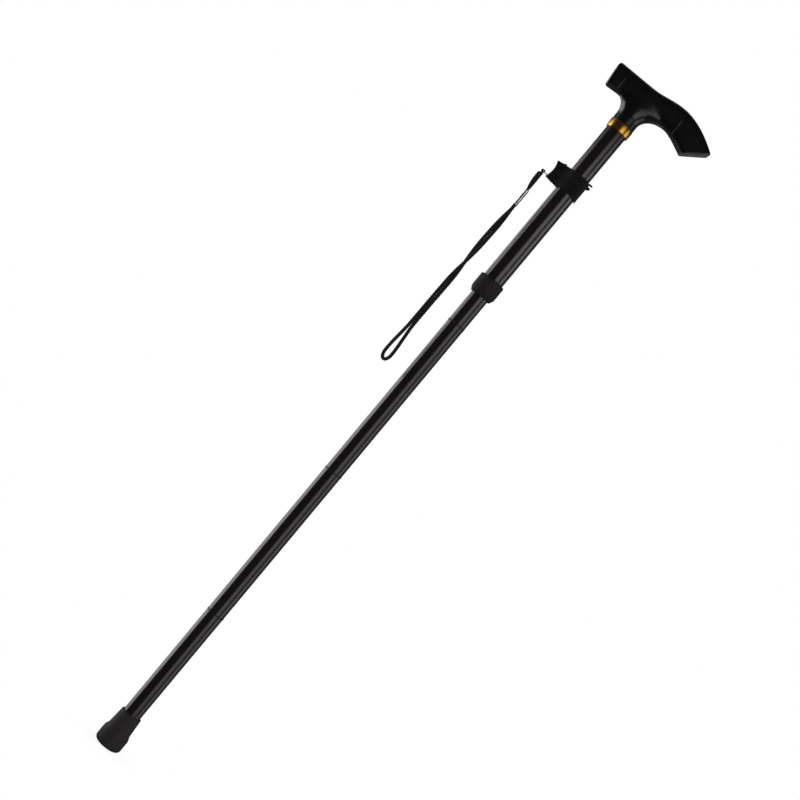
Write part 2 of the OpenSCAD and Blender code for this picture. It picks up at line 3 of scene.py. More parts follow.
import bmesh
import bpy
from mathutils import Matrix, Vector, noise
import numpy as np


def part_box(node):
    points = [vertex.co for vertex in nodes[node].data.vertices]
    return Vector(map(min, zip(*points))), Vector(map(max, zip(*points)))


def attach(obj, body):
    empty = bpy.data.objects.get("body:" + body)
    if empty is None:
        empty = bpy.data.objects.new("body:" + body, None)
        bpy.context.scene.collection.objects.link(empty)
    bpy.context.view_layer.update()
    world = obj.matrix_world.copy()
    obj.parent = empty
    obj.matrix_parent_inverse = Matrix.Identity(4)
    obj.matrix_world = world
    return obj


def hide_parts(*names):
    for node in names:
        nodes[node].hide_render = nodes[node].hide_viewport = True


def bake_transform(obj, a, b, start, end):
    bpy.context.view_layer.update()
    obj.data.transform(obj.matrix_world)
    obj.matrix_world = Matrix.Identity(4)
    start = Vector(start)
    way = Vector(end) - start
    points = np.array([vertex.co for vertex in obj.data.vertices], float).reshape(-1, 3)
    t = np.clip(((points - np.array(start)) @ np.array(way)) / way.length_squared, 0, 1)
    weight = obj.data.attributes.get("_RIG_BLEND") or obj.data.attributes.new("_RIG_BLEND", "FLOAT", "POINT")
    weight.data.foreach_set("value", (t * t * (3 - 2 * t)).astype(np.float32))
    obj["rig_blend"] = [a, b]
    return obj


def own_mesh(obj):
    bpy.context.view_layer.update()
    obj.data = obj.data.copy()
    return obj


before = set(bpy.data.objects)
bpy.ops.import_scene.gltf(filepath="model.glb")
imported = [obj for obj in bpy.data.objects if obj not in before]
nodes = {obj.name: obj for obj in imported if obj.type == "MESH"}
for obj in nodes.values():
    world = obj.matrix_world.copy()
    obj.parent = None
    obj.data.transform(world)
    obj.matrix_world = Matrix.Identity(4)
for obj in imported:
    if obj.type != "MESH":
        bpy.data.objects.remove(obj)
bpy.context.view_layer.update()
scene = bpy.context.scene


# The photograph's view. A long lens stands level with the middle of the shaft, on the side away from the
# height holes, and is turned on its own axis so that the handle leans to the right.
MM = 0.001
VIEW_CENTRE = Vector((0.0049, 0, 0.4424))
VIEW_DISTANCE = 1.66
VIEW_LEAN = math.radians(39.8)

eye = bpy.data.objects.new("eye", bpy.data.cameras.new("eye"))
eye.data.lens = 76.5
eye.location = VIEW_CENTRE - Vector((0, VIEW_DISTANCE, 0))
eye.rotation_euler = (Matrix.Rotation(math.pi / 2, 3, "X") @ Matrix.Rotation(VIEW_LEAN, 3, "Z")).to_euler()
scene.collection.objects.link(eye)
scene.camera = eye
scene.view_settings.view_transform = "Standard"


# The studio: a white surround, a tall soft box behind the nose side and two on the tail side, and dark flags
# between them that give the gloss tubes their black bands. The floor is a pale sheet that turns to white.
SURROUND_LIGHT = 0.85
STUDIO_RADIUS = 2.3
STUDIO_MIDDLE = 0.45
STUDIO_HEIGHT = 4.2
BOX_HEIGHT = STUDIO_HEIGHT * 0.8


def link(tree, source, target):
    """Joins an output socket to an input socket, or gives the input a plain value."""
    if isinstance(source, bpy.types.NodeSocket):
        tree.links.new(source, target)
    else:
        target.default_value = source


def math_node(tree, operation, *values):
    """Result of a sum of sockets or numbers."""
    node = tree.nodes.new("ShaderNodeMath")
    node.operation = operation
    for socket, value in zip(node.inputs, values):
        link(tree, value, socket)
    return node.outputs[0]


def seen_directly(tree):
    """Mask that is 1 on camera, mirror and see-through rays."""
    path = tree.nodes.new("ShaderNodeLightPath")
    straight = math_node(tree, "MAXIMUM", path.outputs["Is Camera Ray"], path.outputs["Is Glossy Ray"])
    return math_node(tree, "MAXIMUM", straight, path.outputs["Is Transmission Ray"])


def grade(tree, value, start, stop, low, high, course="SMOOTHSTEP"):
    """Value that goes from low at start to high at stop, smoothly unless another course is given."""
    node = tree.nodes.new("ShaderNodeMapRange")
    node.interpolation_type = course
    for socket, given in (("Value", value), ("From Min", start), ("From Max", stop), ("To Min", low),
                          ("To Max", high)):
        link(tree, given, node.inputs[socket])
    return node.outputs[0]


def object_place(tree):
    """Place in the object's own coordinates."""
    return tree.nodes.new("ShaderNodeTexCoord").outputs["Object"]


def vector_node(tree, operation, *values):
    """Vector sum of sockets or fixed vectors."""
    node = tree.nodes.new("ShaderNodeVectorMath")
    node.operation = operation
    for socket, value in zip(node.inputs, values):
        link(tree, value, socket)
    return node


def mix_shaders(tree, mask, low, high, target):
    """Shader that goes from one to another by a mask."""
    mix = tree.nodes.new("ShaderNodeMixShader")
    for socket, value in zip(mix.inputs, (mask, low, high)):
        link(tree, value, socket)
    link(tree, mix.outputs[0], target)


surround = bpy.data.worlds.new("surround")
surround.use_nodes = True
scene.world = surround
sky = surround.node_tree
soft_light = sky.nodes["Background"]
soft_light.inputs["Color"].default_value = (1, 1, 1, 1)
soft_light.inputs["Strength"].default_value = SURROUND_LIGHT
white_ground = sky.nodes.new("ShaderNodeBackground")
white_ground.inputs["Color"].default_value = (1, 1, 1, 1)
mix_shaders(sky, seen_directly(sky), soft_light.outputs[0], white_ground.outputs[0],
            sky.nodes["World Output"].inputs["Surface"])

# compass angle from the lens towards the tail side, width of the box, and its power
for name, angle, width, power in (("soft_box_near", 27, 1.45, 5), ("soft_box_side", 86, 1.0, 3.5),
                                  ("soft_box_nose", -104, 1.5, 22)):
    lamp = bpy.data.lights.new(name, "AREA")
    lamp.shape = "RECTANGLE"
    lamp.size = width
    lamp.size_y = BOX_HEIGHT
    lamp.energy = power
    holder = bpy.data.objects.new(name, lamp)
    turn = math.radians(angle)
    holder.location = (STUDIO_RADIUS * math.sin(turn), -STUDIO_RADIUS * math.cos(turn), STUDIO_MIDDLE)
    holder.rotation_euler = (math.pi / 2, 0, turn)
    holder.visible_camera = False
    scene.collection.objects.link(holder)


def new_finish(name, **sockets):
    """Material with its shader's plain values set: (material, node tree, shader)."""
    made = bpy.data.materials.new(name)
    made.use_nodes = True
    shader = made.node_tree.nodes["Principled BSDF"]
    for socket, value in sockets.items():
        target = shader.inputs[socket.replace("_", " ")]
        target.default_value = (*value, 1) if isinstance(value, tuple) else value
    return made, made.node_tree, shader


def put(name, bm, finish):
    """Object at the origin from a finished mesh."""
    made = bpy.data.meshes.new(name)
    bm.to_mesh(made)
    bm.free()
    made.materials.append(finish)
    obj = bpy.data.objects.new(name, made)
    scene.collection.objects.link(obj)
    return obj


STUDIO_FOOT = STUDIO_MIDDLE - STUDIO_HEIGHT / 2
STUDIO_HEAD = STUDIO_MIDDLE + STUDIO_HEIGHT / 2
BOX_HEAD = 1.22
BOX_FOOT = -0.55
VEIL_FOOT, VEIL_TOP = 0.93, 1.29
ZENITH_BACK = 0.75
ZENITH_REACH = 1.1
ZENITH_DENSITY = 0.5
NET_RADIUS = 2.2
NET_EDGE, NET_CLEAR = 5, 25
NET_FOOT, NET_TOP = 0.6, 0.88
NET_DENSITY = 0.4
CENTRE = 0.02
ceiling = ((STUDIO_RADIUS, BOX_HEAD), (STUDIO_RADIUS, STUDIO_HEAD), (CENTRE, STUDIO_HEAD))
veil = ((STUDIO_RADIUS, VEIL_FOOT), *ceiling[1:])
net = ((NET_RADIUS, BOX_HEAD), (NET_RADIUS, BOX_FOOT))
wall = ((STUDIO_RADIUS, BOX_HEAD), (STUDIO_RADIUS, STUDIO_FOOT), (CENTRE, STUDIO_FOOT))
skirt = ((STUDIO_RADIUS, BOX_FOOT), *wall[1:])

# compass angles of each flag, its outline as distances and heights, and its grey
for name, start, stop, outline, grey in (
        ("flag_top", -84, 180, ceiling, 0.03), ("flag_veil", 180, 276, veil, 0.03),
        ("flag_front", -84, NET_EDGE, wall, 0.03), ("flag_low", NET_EDGE, 50, skirt, 0.1),
        ("flag_between", 50, 70, wall, 0.14), ("flag_side", 70, 104, skirt, 0.04),
        ("flag_tail", 104, 158, wall, 0.11), ("flag_end", 158, 176, wall, 0.16),
        ("flag_under", 176, 198, wall, 0.05), ("flag_back", 198, 276, skirt, 0.04),
        ("flag_net", NET_EDGE, 104, net, 0.03)):
    bm = bmesh.new()
    corners = [bm.verts.new((0, -away, height)) for away, height in outline]
    rods = [bm.edges.new(pair) for pair in zip(corners, corners[1:])]
    bmesh.ops.rotate(bm, verts=corners, matrix=Matrix.Rotation(math.radians(start), 3, "Z"))
    bmesh.ops.spin(bm, geom=corners + rods, axis=(0, 0, 1), angle=math.radians(stop - start), steps=36)
    dull = new_finish(name, Base_Color=(grey, grey, grey), Roughness=1, Specular_IOR_Level=0)[0]
    panel = put(name, bm, dull)
    panel.visible_camera = False
    panel.visible_diffuse = False
    panel.visible_shadow = False

# these three are cloth that lets the white through: the top is thin in its middle, the veil is dense at its
# top, and the net at its foot and at its edge towards the lens
for name in ("flag_top", "flag_veil", "flag_net"):
    tree = bpy.data.materials[name].node_tree
    where = object_place(tree)
    split = tree.nodes.new("ShaderNodeSeparateXYZ")
    link(tree, where, split.inputs[0])
    if name == "flag_net":
        towards_lens = math_node(tree, "MULTIPLY", split.outputs["Y"], -1)
        turn = math_node(tree, "ARCTAN2", split.outputs["X"], towards_lens)
        edge = grade(tree, turn, math.radians(NET_EDGE), math.radians(NET_CLEAR), 1, 0)
        hem = grade(tree, split.outputs["Z"], NET_FOOT, NET_TOP, NET_DENSITY, 0)
        dense = math_node(tree, "MAXIMUM", edge, hem)
    else:
        away = vector_node(tree, "DISTANCE", where, (0, ZENITH_BACK, STUDIO_HEAD)).outputs["Value"]
        dense = grade(tree, away, 0, ZENITH_REACH, ZENITH_DENSITY, 1)
    if name == "flag_veil":
        dense = math_node(tree, "MULTIPLY", dense, grade(tree, split.outputs["Z"], VEIL_FOOT, VEIL_TOP, 0, 1))
    link(tree, dense, tree.nodes["Principled BSDF"].inputs["Alpha"])

FLOOR_RADIUS = 6
FLOOR_GAP = 0.0003
FLOOR_TONED, FLOOR_WHITE = 0.012, 0.045
FLOOR_LEAST_WHITE = 0.9
bm = bmesh.new()
bmesh.ops.create_circle(bm, cap_ends=True, segments=96, radius=FLOOR_RADIUS)
bmesh.ops.translate(bm, verts=bm.verts, vec=(0, 0, -FLOOR_GAP))
floor_sheet, tree, shader = new_finish("floor_sheet", Base_Color=(0.9, 0.9, 0.9), Roughness=1,
                                       Specular_IOR_Level=0)
away = vector_node(tree, "LENGTH", object_place(tree)).outputs["Value"]
fade = grade(tree, away, FLOOR_TONED, FLOOR_WHITE, FLOOR_LEAST_WHITE, 1)
white = tree.nodes.new("ShaderNodeEmission")
mix_shaders(tree, math_node(tree, "MULTIPLY", fade, seen_directly(tree)), shader.outputs[0], white.outputs[0],
            tree.nodes["Material Output"].inputs["Surface"])
floor = put("floor", bm, floor_sheet)
floor.visible_glossy = False
# it sinks with the foot when the cane is drawn out
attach(floor, "adjuster")


# The wrist loop's cord: black braided polyester, doubled, twisted half a turn and left open at the bottom.
# Both ends go up into the crimp. Its route is that of the solid, strand by strand.
EYE_X = -30.955 * MM
CRIMP_FOOT = 660.6 * MM
WRIST_CORD_D = 3.7 * MM
WRIST_DRAWN_IN = 0.93
# lean of the pair, half the gap between the strands along X and along Y, height under the crimp
WRIST_ROUTE = (
    (0, 0, 1.9, 0), (0, 0, 1.9, -5), (-0.2, 0.95, 1.65, -14), (-0.5, 1.65, 0.95, -23), (-0.8, 1.9, 0, -32),
    (-1.2, 1.9, 0, -47), (-1.4, 1.65, -0.95, -56), (-1.6, 0.95, -1.65, -65), (-1.8, 0, -1.9, -75),
    (-2, -0.95, -1.65, -83), (-2.2, -1.65, -0.95, -91), (-2.4, -1.9, 0, -100), (-2.8, -1.9, 0, -124),
    (-3, -1.9, 0, -150), (-3, -2.2, -1.2, -160), (-2.9, -3.1, -3.8, -171), (-2.8, -3.9, -5.9, -181),
    (-2.7, -4.1, -6.3, -189.5), (-2.7, -3.6, -5.5, -193.3), (-2.7, -2.1, -3.2, -196.3), (-2.7, 0, 0, -197.3),
)


def smooth_route(points, step):
    """Points at an even step along a smooth curve through the given ones."""
    fine = []
    last = len(points) - 1
    for i in range(last):
        a, b, c, d = (points[max(0, min(last, i + k))] for k in (-1, 0, 1, 2))
        for n in range(24):
            t = n / 24
            fine.append(0.5 * (2 * b + (c - a) * t + (2 * a - 5 * b + 4 * c - d) * t ** 2
                               + (3 * b - a - 3 * c + d) * t ** 3))
    fine.append(points[-1].copy())
    run = [0.0]
    for a, b in zip(fine, fine[1:]):
        run.append(run[-1] + (b - a).length)
    count = max(2, round(run[-1] / step))
    even, k = [], 0
    for i in range(count + 1):
        goal = run[-1] * i / count
        while k < len(run) - 2 and run[k + 1] < goal:
            k += 1
        share = (goal - run[k]) / max(run[k + 1] - run[k], 1e-9)
        even.append(fine[k].lerp(fine[k + 1], share))
    return even


def plait(turn, run, strands, pitch):
    """Height of a round braid, 0 to 1, at a turn round the cord and a run along it."""
    over = math.sin(2 * math.pi * (strands * turn + run / pitch))
    under = math.sin(2 * math.pi * (strands * turn - run / pitch))
    return 0.5 + 0.25 * (over + under) + 0.25 * over * under


def loop_edges(ring):
    """Edges of a ring that nothing is joined to yet."""
    return list({edge for vert in ring for edge in vert.link_edges})


def loft(bm, rings):
    """Skin through rings of edges, closed at both ends."""
    for one, two in zip(rings, rings[1:]):
        bmesh.ops.bridge_loops(bm, edges=one + two)
    for end in (rings[0], rings[-1]):
        bmesh.ops.contextual_create(bm, geom=end)


def cord_tube(bm, route, radius, sides, relief=0.0, strands=4, pitch=0.003, closed=False):
    """Round cord along a route, with a braid raised on it, and its turn and run kept for the UV map."""
    turns = bm.verts.layers.float.get("turn") or bm.verts.layers.float.new("turn")
    runs = bm.verts.layers.float.get("run") or bm.verts.layers.float.new("run")
    rings = []
    last = len(route) - 1
    side = Vector((0.85, -0.53, 0.1))
    run = 0.0
    for i, point in enumerate(route):
        if closed:
            along = (route[(i + 1) % len(route)] - route[i - 1]).normalized()
        else:
            along = (route[min(i + 1, last)] - route[max(i - 1, 0)]).normalized()
        side = (side - along * side.dot(along)).normalized()
        if i:
            run += (point - route[i - 1]).length
        frame_matrix = Matrix((side, along.cross(side), along)).transposed().to_4x4()
        frame_matrix.translation = point
        ring = bmesh.ops.create_circle(bm, segments=sides, radius=radius, matrix=frame_matrix)["verts"]
        for k, vert in enumerate(ring):
            vert[turns] = k / sides
            vert[runs] = run
            if relief:
                sunk = 1 - plait(k / sides, run, strands, pitch)
                vert.co -= (vert.co - point).normalized() * relief * sunk
        rings.append(loop_edges(ring))
    if closed:
        for one, two in zip(rings, rings[1:] + rings[:1]):
            bmesh.ops.bridge_loops(bm, edges=one + two)
    else:
        loft(bm, rings)


def wrap_uv(bm, girth):
    """UV map of a cord: one turn is 1 wide, and the run has the same scale."""
    turns, runs = bm.verts.layers.float["turn"], bm.verts.layers.float["run"]
    uv = bm.loops.layers.uv.new("UVMap")
    for face in bm.faces:
        wide = max(c.vert[turns] for c in face.loops) - min(c.vert[turns] for c in face.loops) > 0.5
        for corner in face.loops:
            turn = corner.vert[turns]
            corner[uv].uv = (turn + 1 if wide and turn < 0.5 else turn, corner.vert[runs] / girth)


def make_piece(name, bm, finish, body, sharp=40):
    """Smooth piece from a finished mesh, riding on its body where it has one."""
    bmesh.ops.recalc_face_normals(bm, faces=bm.faces)
    obj = put(name, bm, finish)
    obj.data.shade_smooth()
    obj.data.set_sharp_from_angle(angle=math.radians(sharp))
    if body:
        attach(obj, body)
    return obj


def new_group(name, inputs, outputs):
    """Empty shader node group with float sockets: (group, its input node, its output node)."""
    group = bpy.data.node_groups.new(name, "ShaderNodeTree")
    for socket, value in inputs.items():
        made = group.interface.new_socket(socket, in_out="INPUT", socket_type="NodeSocketFloat")
        made.default_value = value
    for socket in outputs:
        group.interface.new_socket(socket, in_out="OUTPUT", socket_type="NodeSocketFloat")
    return group, group.nodes.new("NodeGroupInput"), group.nodes.new("NodeGroupOutput")


def place_group(tree, group, **values):
    """Node that places a group in a material, with its own values."""
    node = tree.nodes.new("ShaderNodeGroup")
    node.node_tree = group
    for socket, value in values.items():
        node.inputs[socket.replace("_", " ")].default_value = value
    return node


def two_tone(tree, mask, low, high, target):
    """Colour that goes from low to high by a mask."""
    mix = tree.nodes.new("ShaderNodeMix")
    mix.data_type = "RGBA"
    mix.inputs[6].default_value = (*low, 1)
    mix.inputs[7].default_value = (*high, 1)
    link(tree, mask, mix.inputs[0])
    link(tree, mix.outputs[2], target)


def value_range(tree, mask, low, high, target):
    """Value that goes evenly from low to high by a mask."""
    link(tree, grade(tree, mask, 0, 1, low, high, "LINEAR"), target)


def raise_bump(tree, shader, height, strength, distance):
    """Bump from a height in 0 to 1."""
    bump = tree.nodes.new("ShaderNodeBump")
    bump.inputs["Strength"].default_value = strength
    bump.inputs["Distance"].default_value = distance
    link(tree, height, bump.inputs["Height"])
    link(tree, bump.outputs[0], shader.inputs["Normal"])


def speckle(tree, vector, scale, detail):
    """Noise over a vector, at a scale that is a number or a socket."""
    node = tree.nodes.new("ShaderNodeTexNoise")
    for socket, value in (("Vector", vector), ("Scale", scale), ("Detail", detail)):
        link(tree, value, node.inputs[socket])
    return node.outputs[0]


# Braid of yarns round a cord, on its UV map: the height of the yarns, and a fibre's worth of fuzz
braid, braid_in, braid_out = new_group("braid", {"Strands": 4, "Pitch": 4}, ("Height", "Fibre"))
uv_node = braid.nodes.new("ShaderNodeUVMap")
split = braid.nodes.new("ShaderNodeSeparateXYZ")
link(braid, uv_node.outputs[0], split.inputs[0])
around = math_node(braid, "MULTIPLY", split.outputs["X"], braid_in.outputs["Strands"])
along = math_node(braid, "MULTIPLY", split.outputs["Y"], braid_in.outputs["Pitch"])
waves = []
for lean in ("ADD", "SUBTRACT"):
    cycle = math_node(braid, "MULTIPLY", math_node(braid, lean, around, along), 2 * math.pi)
    waves.append(math_node(braid, "SINE", cycle))
both = math_node(braid, "MULTIPLY", math_node(braid, "ADD", *waves), 0.25)
cross = math_node(braid, "MULTIPLY", math_node(braid, "MULTIPLY", *waves), 0.25)
link(braid, math_node(braid, "ADD", math_node(braid, "ADD", both, cross), 0.5), braid_out.inputs["Height"])
link(braid, speckle(braid, uv_node.outputs[0], 34, 3), braid_out.inputs["Fibre"])


def cord_finish(name, deep, proud, strands, pitch, sheen):
    """Braided yarn, from its colour deep between the yarns to that on top of them."""
    made, tree, shader = new_finish(name, Roughness=0.85, Specular_IOR_Level=0.22, Sheen_Weight=sheen,
                                    Sheen_Roughness=0.5)
    yarns = place_group(tree, braid, Strands=strands, Pitch=pitch)
    two_tone(tree, math_node(tree, "MULTIPLY", yarns.outputs["Height"], yarns.outputs["Fibre"]), deep, proud,
             shader.inputs["Base Color"])
    value_range(tree, yarns.outputs["Fibre"], 0.72, 0.95, shader.inputs["Roughness"])
    grain = math_node(tree, "MULTIPLY_ADD", yarns.outputs["Fibre"], 0.35, yarns.outputs["Height"])
    raise_bump(tree, shader, grain, 0.7, 0.0003)
    return made


black_cord = cord_finish("black_cord", (0.004, 0.004, 0.0045), (0.022, 0.022, 0.023), 4, 3.9, 0.05)


def strand(route, side, drawn_in, top, scale):
    """One strand of a pair, from its rows of lean, half gaps and height."""
    return [Vector((EYE_X + (lean + side * gap_x * drawn_in) * MM, side * gap_y * MM, top + height * scale))
            for lean, gap_x, gap_y, height in route]


down, back = (strand(WRIST_ROUTE, side, WRIST_DRAWN_IN, CRIMP_FOOT, MM) for side in (1, -1))
wrist_way = smooth_route(down + back[-2::-1], 0.55 * MM)
bm = bmesh.new()
cord_tube(bm, wrist_way, WRIST_CORD_D / 2, 16, relief=0.14 * MM, pitch=3 * MM)
wrap_uv(bm, math.pi * WRIST_CORD_D)
wrist_loop = make_piece("wrist_loop", bm, black_cord, "lanyard", sharp=180)
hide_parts("wrist_cord")


# The neck of the wrist loop: two strands of thinner braid between the knot and the crimp, a quarter turn
# about each other. The knot above is the same cord, tied round the thread and whipped with one turn.
NECK_TOP = 700.6 * MM
NECK_LENGTH = 21.5 * MM
NECK_CORD_D = 2.9 * MM
NECK_DRAWN_IN = 0.8
KNOT_EYE = Vector((EYE_X, 0, 703.6 * MM))
# lean of the pair, half the gap between the strands along X and along Y, share of the way down
NECK_ROUTE = ((-1, 1.7, 0, 0), (-1, 1.7, 0, 0.2), (-0.8, 1.5, 0.8, 0.5), (-0.4, 0.9, 1.4, 0.75),
              (0, 0, 1.6, 0.95), (0, 0, 1.6, 1))

bm = bmesh.new()
for side in (1, -1):
    way = strand(NECK_ROUTE, side, NECK_DRAWN_IN, NECK_TOP, -NECK_LENGTH)
    cord_tube(bm, smooth_route(way, 0.4 * MM), NECK_CORD_D / 2, 14, relief=0.12 * MM, pitch=2.4 * MM)
wrap_uv(bm, math.pi * NECK_CORD_D)
neck_strands = make_piece("neck_strands", bm, black_cord, "lanyard", sharp=180)
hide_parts("lanyard_neck_cord")

KNOT_CORD_R = 0.98 * MM
KNOT_SPREAD, KNOT_RISE = 0.52 * MM, 0.5 * MM
WHIP_CORD_R = 0.55 * MM
WHIP_HALF_WIDTH, WHIP_HALF_DEPTH = 1.9, 0.95
WHIP_MIDDLE = Vector((-0.5, 0, -2.55))


def overhand_knot(bm, centre, turn, spread, rise, radius):
    """Tight overhand knot about a centre, its flat side turned by a matrix."""
    way = []
    for k in range(96):
        a = 2 * math.pi * k / 96
        flat = Vector((math.sin(a) + 2 * math.sin(2 * a), math.cos(a) - 2 * math.cos(2 * a), 0)) * spread
        way.append(centre + turn @ (flat - Vector((0, 0, rise * math.sin(3 * a)))))
    cord_tube(bm, way, radius, 14, relief=0.08 * radius, pitch=2 * radius, closed=True)


bm = bmesh.new()
overhand_knot(bm, KNOT_EYE, Matrix.Rotation(math.pi / 2, 3, "X"), KNOT_SPREAD, KNOT_RISE, KNOT_CORD_R)
whip = []
for k in range(48):
    a = 2 * math.pi * k / 48
    turn = Vector((WHIP_HALF_WIDTH * math.cos(a), WHIP_HALF_DEPTH * math.sin(a), 0))
    whip.append(KNOT_EYE + (WHIP_MIDDLE + turn) * MM)
cord_tube(bm, whip, WHIP_CORD_R, 10, relief=0.06 * MM, strands=3, pitch=1.2 * MM, closed=True)
wrap_uv(bm, 2 * math.pi * KNOT_CORD_R)
eye_knot = make_piece("eye_knot", bm, black_cord, "lanyard", sharp=180)
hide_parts("lanyard_knot")


# The crimp: a short bright metal sleeve, pressed flat over both pairs of strands, with rolled ends and two
# shallow dents where the pressing tool closed it.
CRIMP_LENGTH = 18.5 * MM
CRIMP_HALF_WIDTH = 2.35 * MM
CRIMP_HALF_DEPTH = 4.1 * MM
CRIMP_SQUARENESS = (2 / 0.7, 2 / 0.8)
CRIMP_SIZE = 0.98
CRIMP_SWELL = 0.12

# Fine lines left by drawing, turning or brushing, across one axis of the object: the lines, and a slow cloud
drawn, drawn_in, drawn_out = new_group("drawn_lines", {"Across": 900, "Along": 8}, ("Lines", "Cloud"))
where = object_place(drawn)
stretch = drawn.nodes.new("ShaderNodeCombineXYZ")
link(drawn, drawn_in.outputs["Across"], stretch.inputs["X"])
link(drawn, drawn_in.outputs["Across"], stretch.inputs["Y"])
link(drawn, drawn_in.outputs["Along"], stretch.inputs["Z"])
spread = vector_node(drawn, "MULTIPLY", where, stretch.outputs[0]).outputs[0]
link(drawn, speckle(drawn, spread, 1, 4), drawn_out.inputs["Lines"])
link(drawn, speckle(drawn, where, 22, 3), drawn_out.inputs["Cloud"])


def metal_finish(name, low, high, rough_low, rough_high, across, along, line_depth):
    """Bare or plated metal between two colours, with the fine lines of how it was worked."""
    made, tree, shader = new_finish(name, Metallic=1.0)
    lines = place_group(tree, drawn, Across=across, Along=along)
    two_tone(tree, lines.outputs["Cloud"], low, high, shader.inputs["Base Color"])
    value_range(tree, lines.outputs["Lines"], rough_low, rough_high, shader.inputs["Roughness"])
    raise_bump(tree, shader, lines.outputs["Lines"], 0.25, line_depth)
    return made


def swell(v, squareness):
    """Rounded power that squares up a section."""
    return math.copysign(abs(v) ** (2 / squareness), v)


crimp_metal = metal_finish("crimp_metal", (0.74, 0.74, 0.75), (0.92, 0.92, 0.93), 0.12, 0.3, 1500, 120,
                           0.00004)
bm = bmesh.new()
# share of the way up, and how far the wall stands out from the flat pressing
CRIMP_OUTLINE = ((0, -0.5), (0.004, 0), (0.03, 0.12), (0.06, 0), (0.2, -0.12), (0.27, -0.3), (0.34, -0.12),
                 (0.5, 0), (0.66, -0.12), (0.73, -0.3), (0.8, -0.12), (0.94, 0), (0.97, 0.12), (0.996, 0),
                 (1, -0.5))
rings = []
for share, out in CRIMP_OUTLINE:
    level = Matrix.Translation((EYE_X, 0, CRIMP_FOOT + share * CRIMP_LENGTH))
    ring = bmesh.ops.create_circle(bm, segments=48, radius=1, matrix=level)["verts"]
    for vert in ring:
        flat = Vector((swell(vert.co.x - EYE_X, CRIMP_SQUARENESS[0]) * CRIMP_HALF_WIDTH,
                       swell(vert.co.y, CRIMP_SQUARENESS[1]) * CRIMP_HALF_DEPTH, 0))
        vert.co = level.translation + flat * (CRIMP_SIZE + out * CRIMP_SWELL)
    rings.append(loop_edges(ring))
loft(bm, rings)
pressed_crimp = make_piece("pressed_crimp", bm, crimp_metal, "lanyard", sharp=50)
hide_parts("lanyard_crimp")


# The shaft's five tubes: drawn aluminium, black anodised and lacquered to a gloss. The wide one carries the
# handle; the four narrow ones slide or fold under it. Faint draw lines run along them.
def dress(finish, *names):
    """Gives solids of the frame their finish."""
    for name in names:
        for place in nodes[name].material_slots:
            place.material = finish


tube_black, tree, shader = new_finish("tube_black", Specular_IOR_Level=0.9, Specular_Tint=(1, 0.93, 0.96))
lines = place_group(tree, drawn, Across=2600, Along=5)
two_tone(tree, lines.outputs["Cloud"], (0.0035, 0.0028, 0.003), (0.0065, 0.005, 0.0055),
         shader.inputs["Base Color"])
value_range(tree, lines.outputs["Lines"], 0.13, 0.23, shader.inputs["Roughness"])
raise_bump(tree, shader, lines.outputs["Lines"], 0.06, 0.00001)
dress(tube_black, "upper_tube", "adjuster_tube", "second_tube", "third_tube", "foot_tube")


# The folds: a black nylon liner is pressed into the upper tube of each, with a flange over the tube's end,
# and a turned alloy plug into the lower tube. The plug's nose seats in the liner.

# Grain of a moulded surface: fine texture, slow cloud, and a few scuffs
moulded, moulded_in, moulded_out = new_group("moulded_grain", {"Fineness": 2600},
                                             ("Grain", "Cloud", "Scuffs"))
where = object_place(moulded)
texture = speckle(moulded, where, moulded_in.outputs["Fineness"], 2)
link(moulded, texture, moulded_out.inputs["Grain"])
link(moulded, speckle(moulded, where, 70, 3), moulded_out.inputs["Cloud"])
rub = speckle(moulded, where, 320, 5)
rub.node.inputs["Roughness"].default_value = 0.7
link(moulded, rub, moulded_out.inputs["Scuffs"])


def plastic_finish(name, low, high, rough_low, rough_high, fineness, depth, specular):
    """Moulded plastic or rubber between two colours, with a fine grain."""
    made, tree, shader = new_finish(name, Specular_IOR_Level=specular)
    skin = place_group(tree, moulded, Fineness=fineness)
    two_tone(tree, skin.outputs["Cloud"], low, high, shader.inputs["Base Color"])
    value_range(tree, skin.outputs["Scuffs"], rough_low, rough_high, shader.inputs["Roughness"])
    raise_bump(tree, shader, skin.outputs["Grain"], 0.4, depth)
    return made


liner_nylon = plastic_finish("liner_nylon", (0.006, 0.006, 0.006), (0.012, 0.012, 0.012), 0.42, 0.6, 3200,
                             0.00003, 0.4)
dress(liner_nylon, "socket_sleeve_1", "socket_sleeve_2", "socket_sleeve_3", "cord_anchor_top",
      "cord_anchor_bottom")
plug_alloy = metal_finish("plug_alloy", (0.52, 0.53, 0.55), (0.68, 0.69, 0.7), 0.22, 0.42, 40, 5200, 0.00002)
dress(plug_alloy, "joint_plug_1", "joint_plug_2", "joint_plug_3")


# The elastic cord: white braided sleeve over rubber, stretched inside the tubes from a knot in the adjuster
# to one in the foot. It is modelled in three lengths, each of which bends round one fold as that fold opens.
ELASTIC_R = 2 * MM
LOOP_ZONE = 0.5 * MM
LOOP_RINGS = 36
STOPPER_CORD_R = 1.3 * MM
STOPPER_SPREAD, STOPPER_RISE = 0.74 * MM, 1.15 * MM
# name, body over the fold and under it, solids; then top, middle of the bend, foot and length of the bent
# loop in mm, and the heights of the knots
ELASTIC_LENGTHS = (
    ("elastic_top", "adjuster", "second_section", ("elastic_cord_1", "elastic_cord_2"),
     670, 544.75, 440, 53, (670.8,)),
    ("elastic_middle", "second_section", "third_section", ("elastic_cord_3",),
     440, 357.25, 256, 59, ()),
    ("elastic_foot", "third_section", "foot_section", ("elastic_cord_4",),
     256, 177.75, 57, 54, (57,)),
)
elastic_white = cord_finish("elastic_white", (0.5, 0.49, 0.45), (0.82, 0.81, 0.77), 6, 6, 0.1)

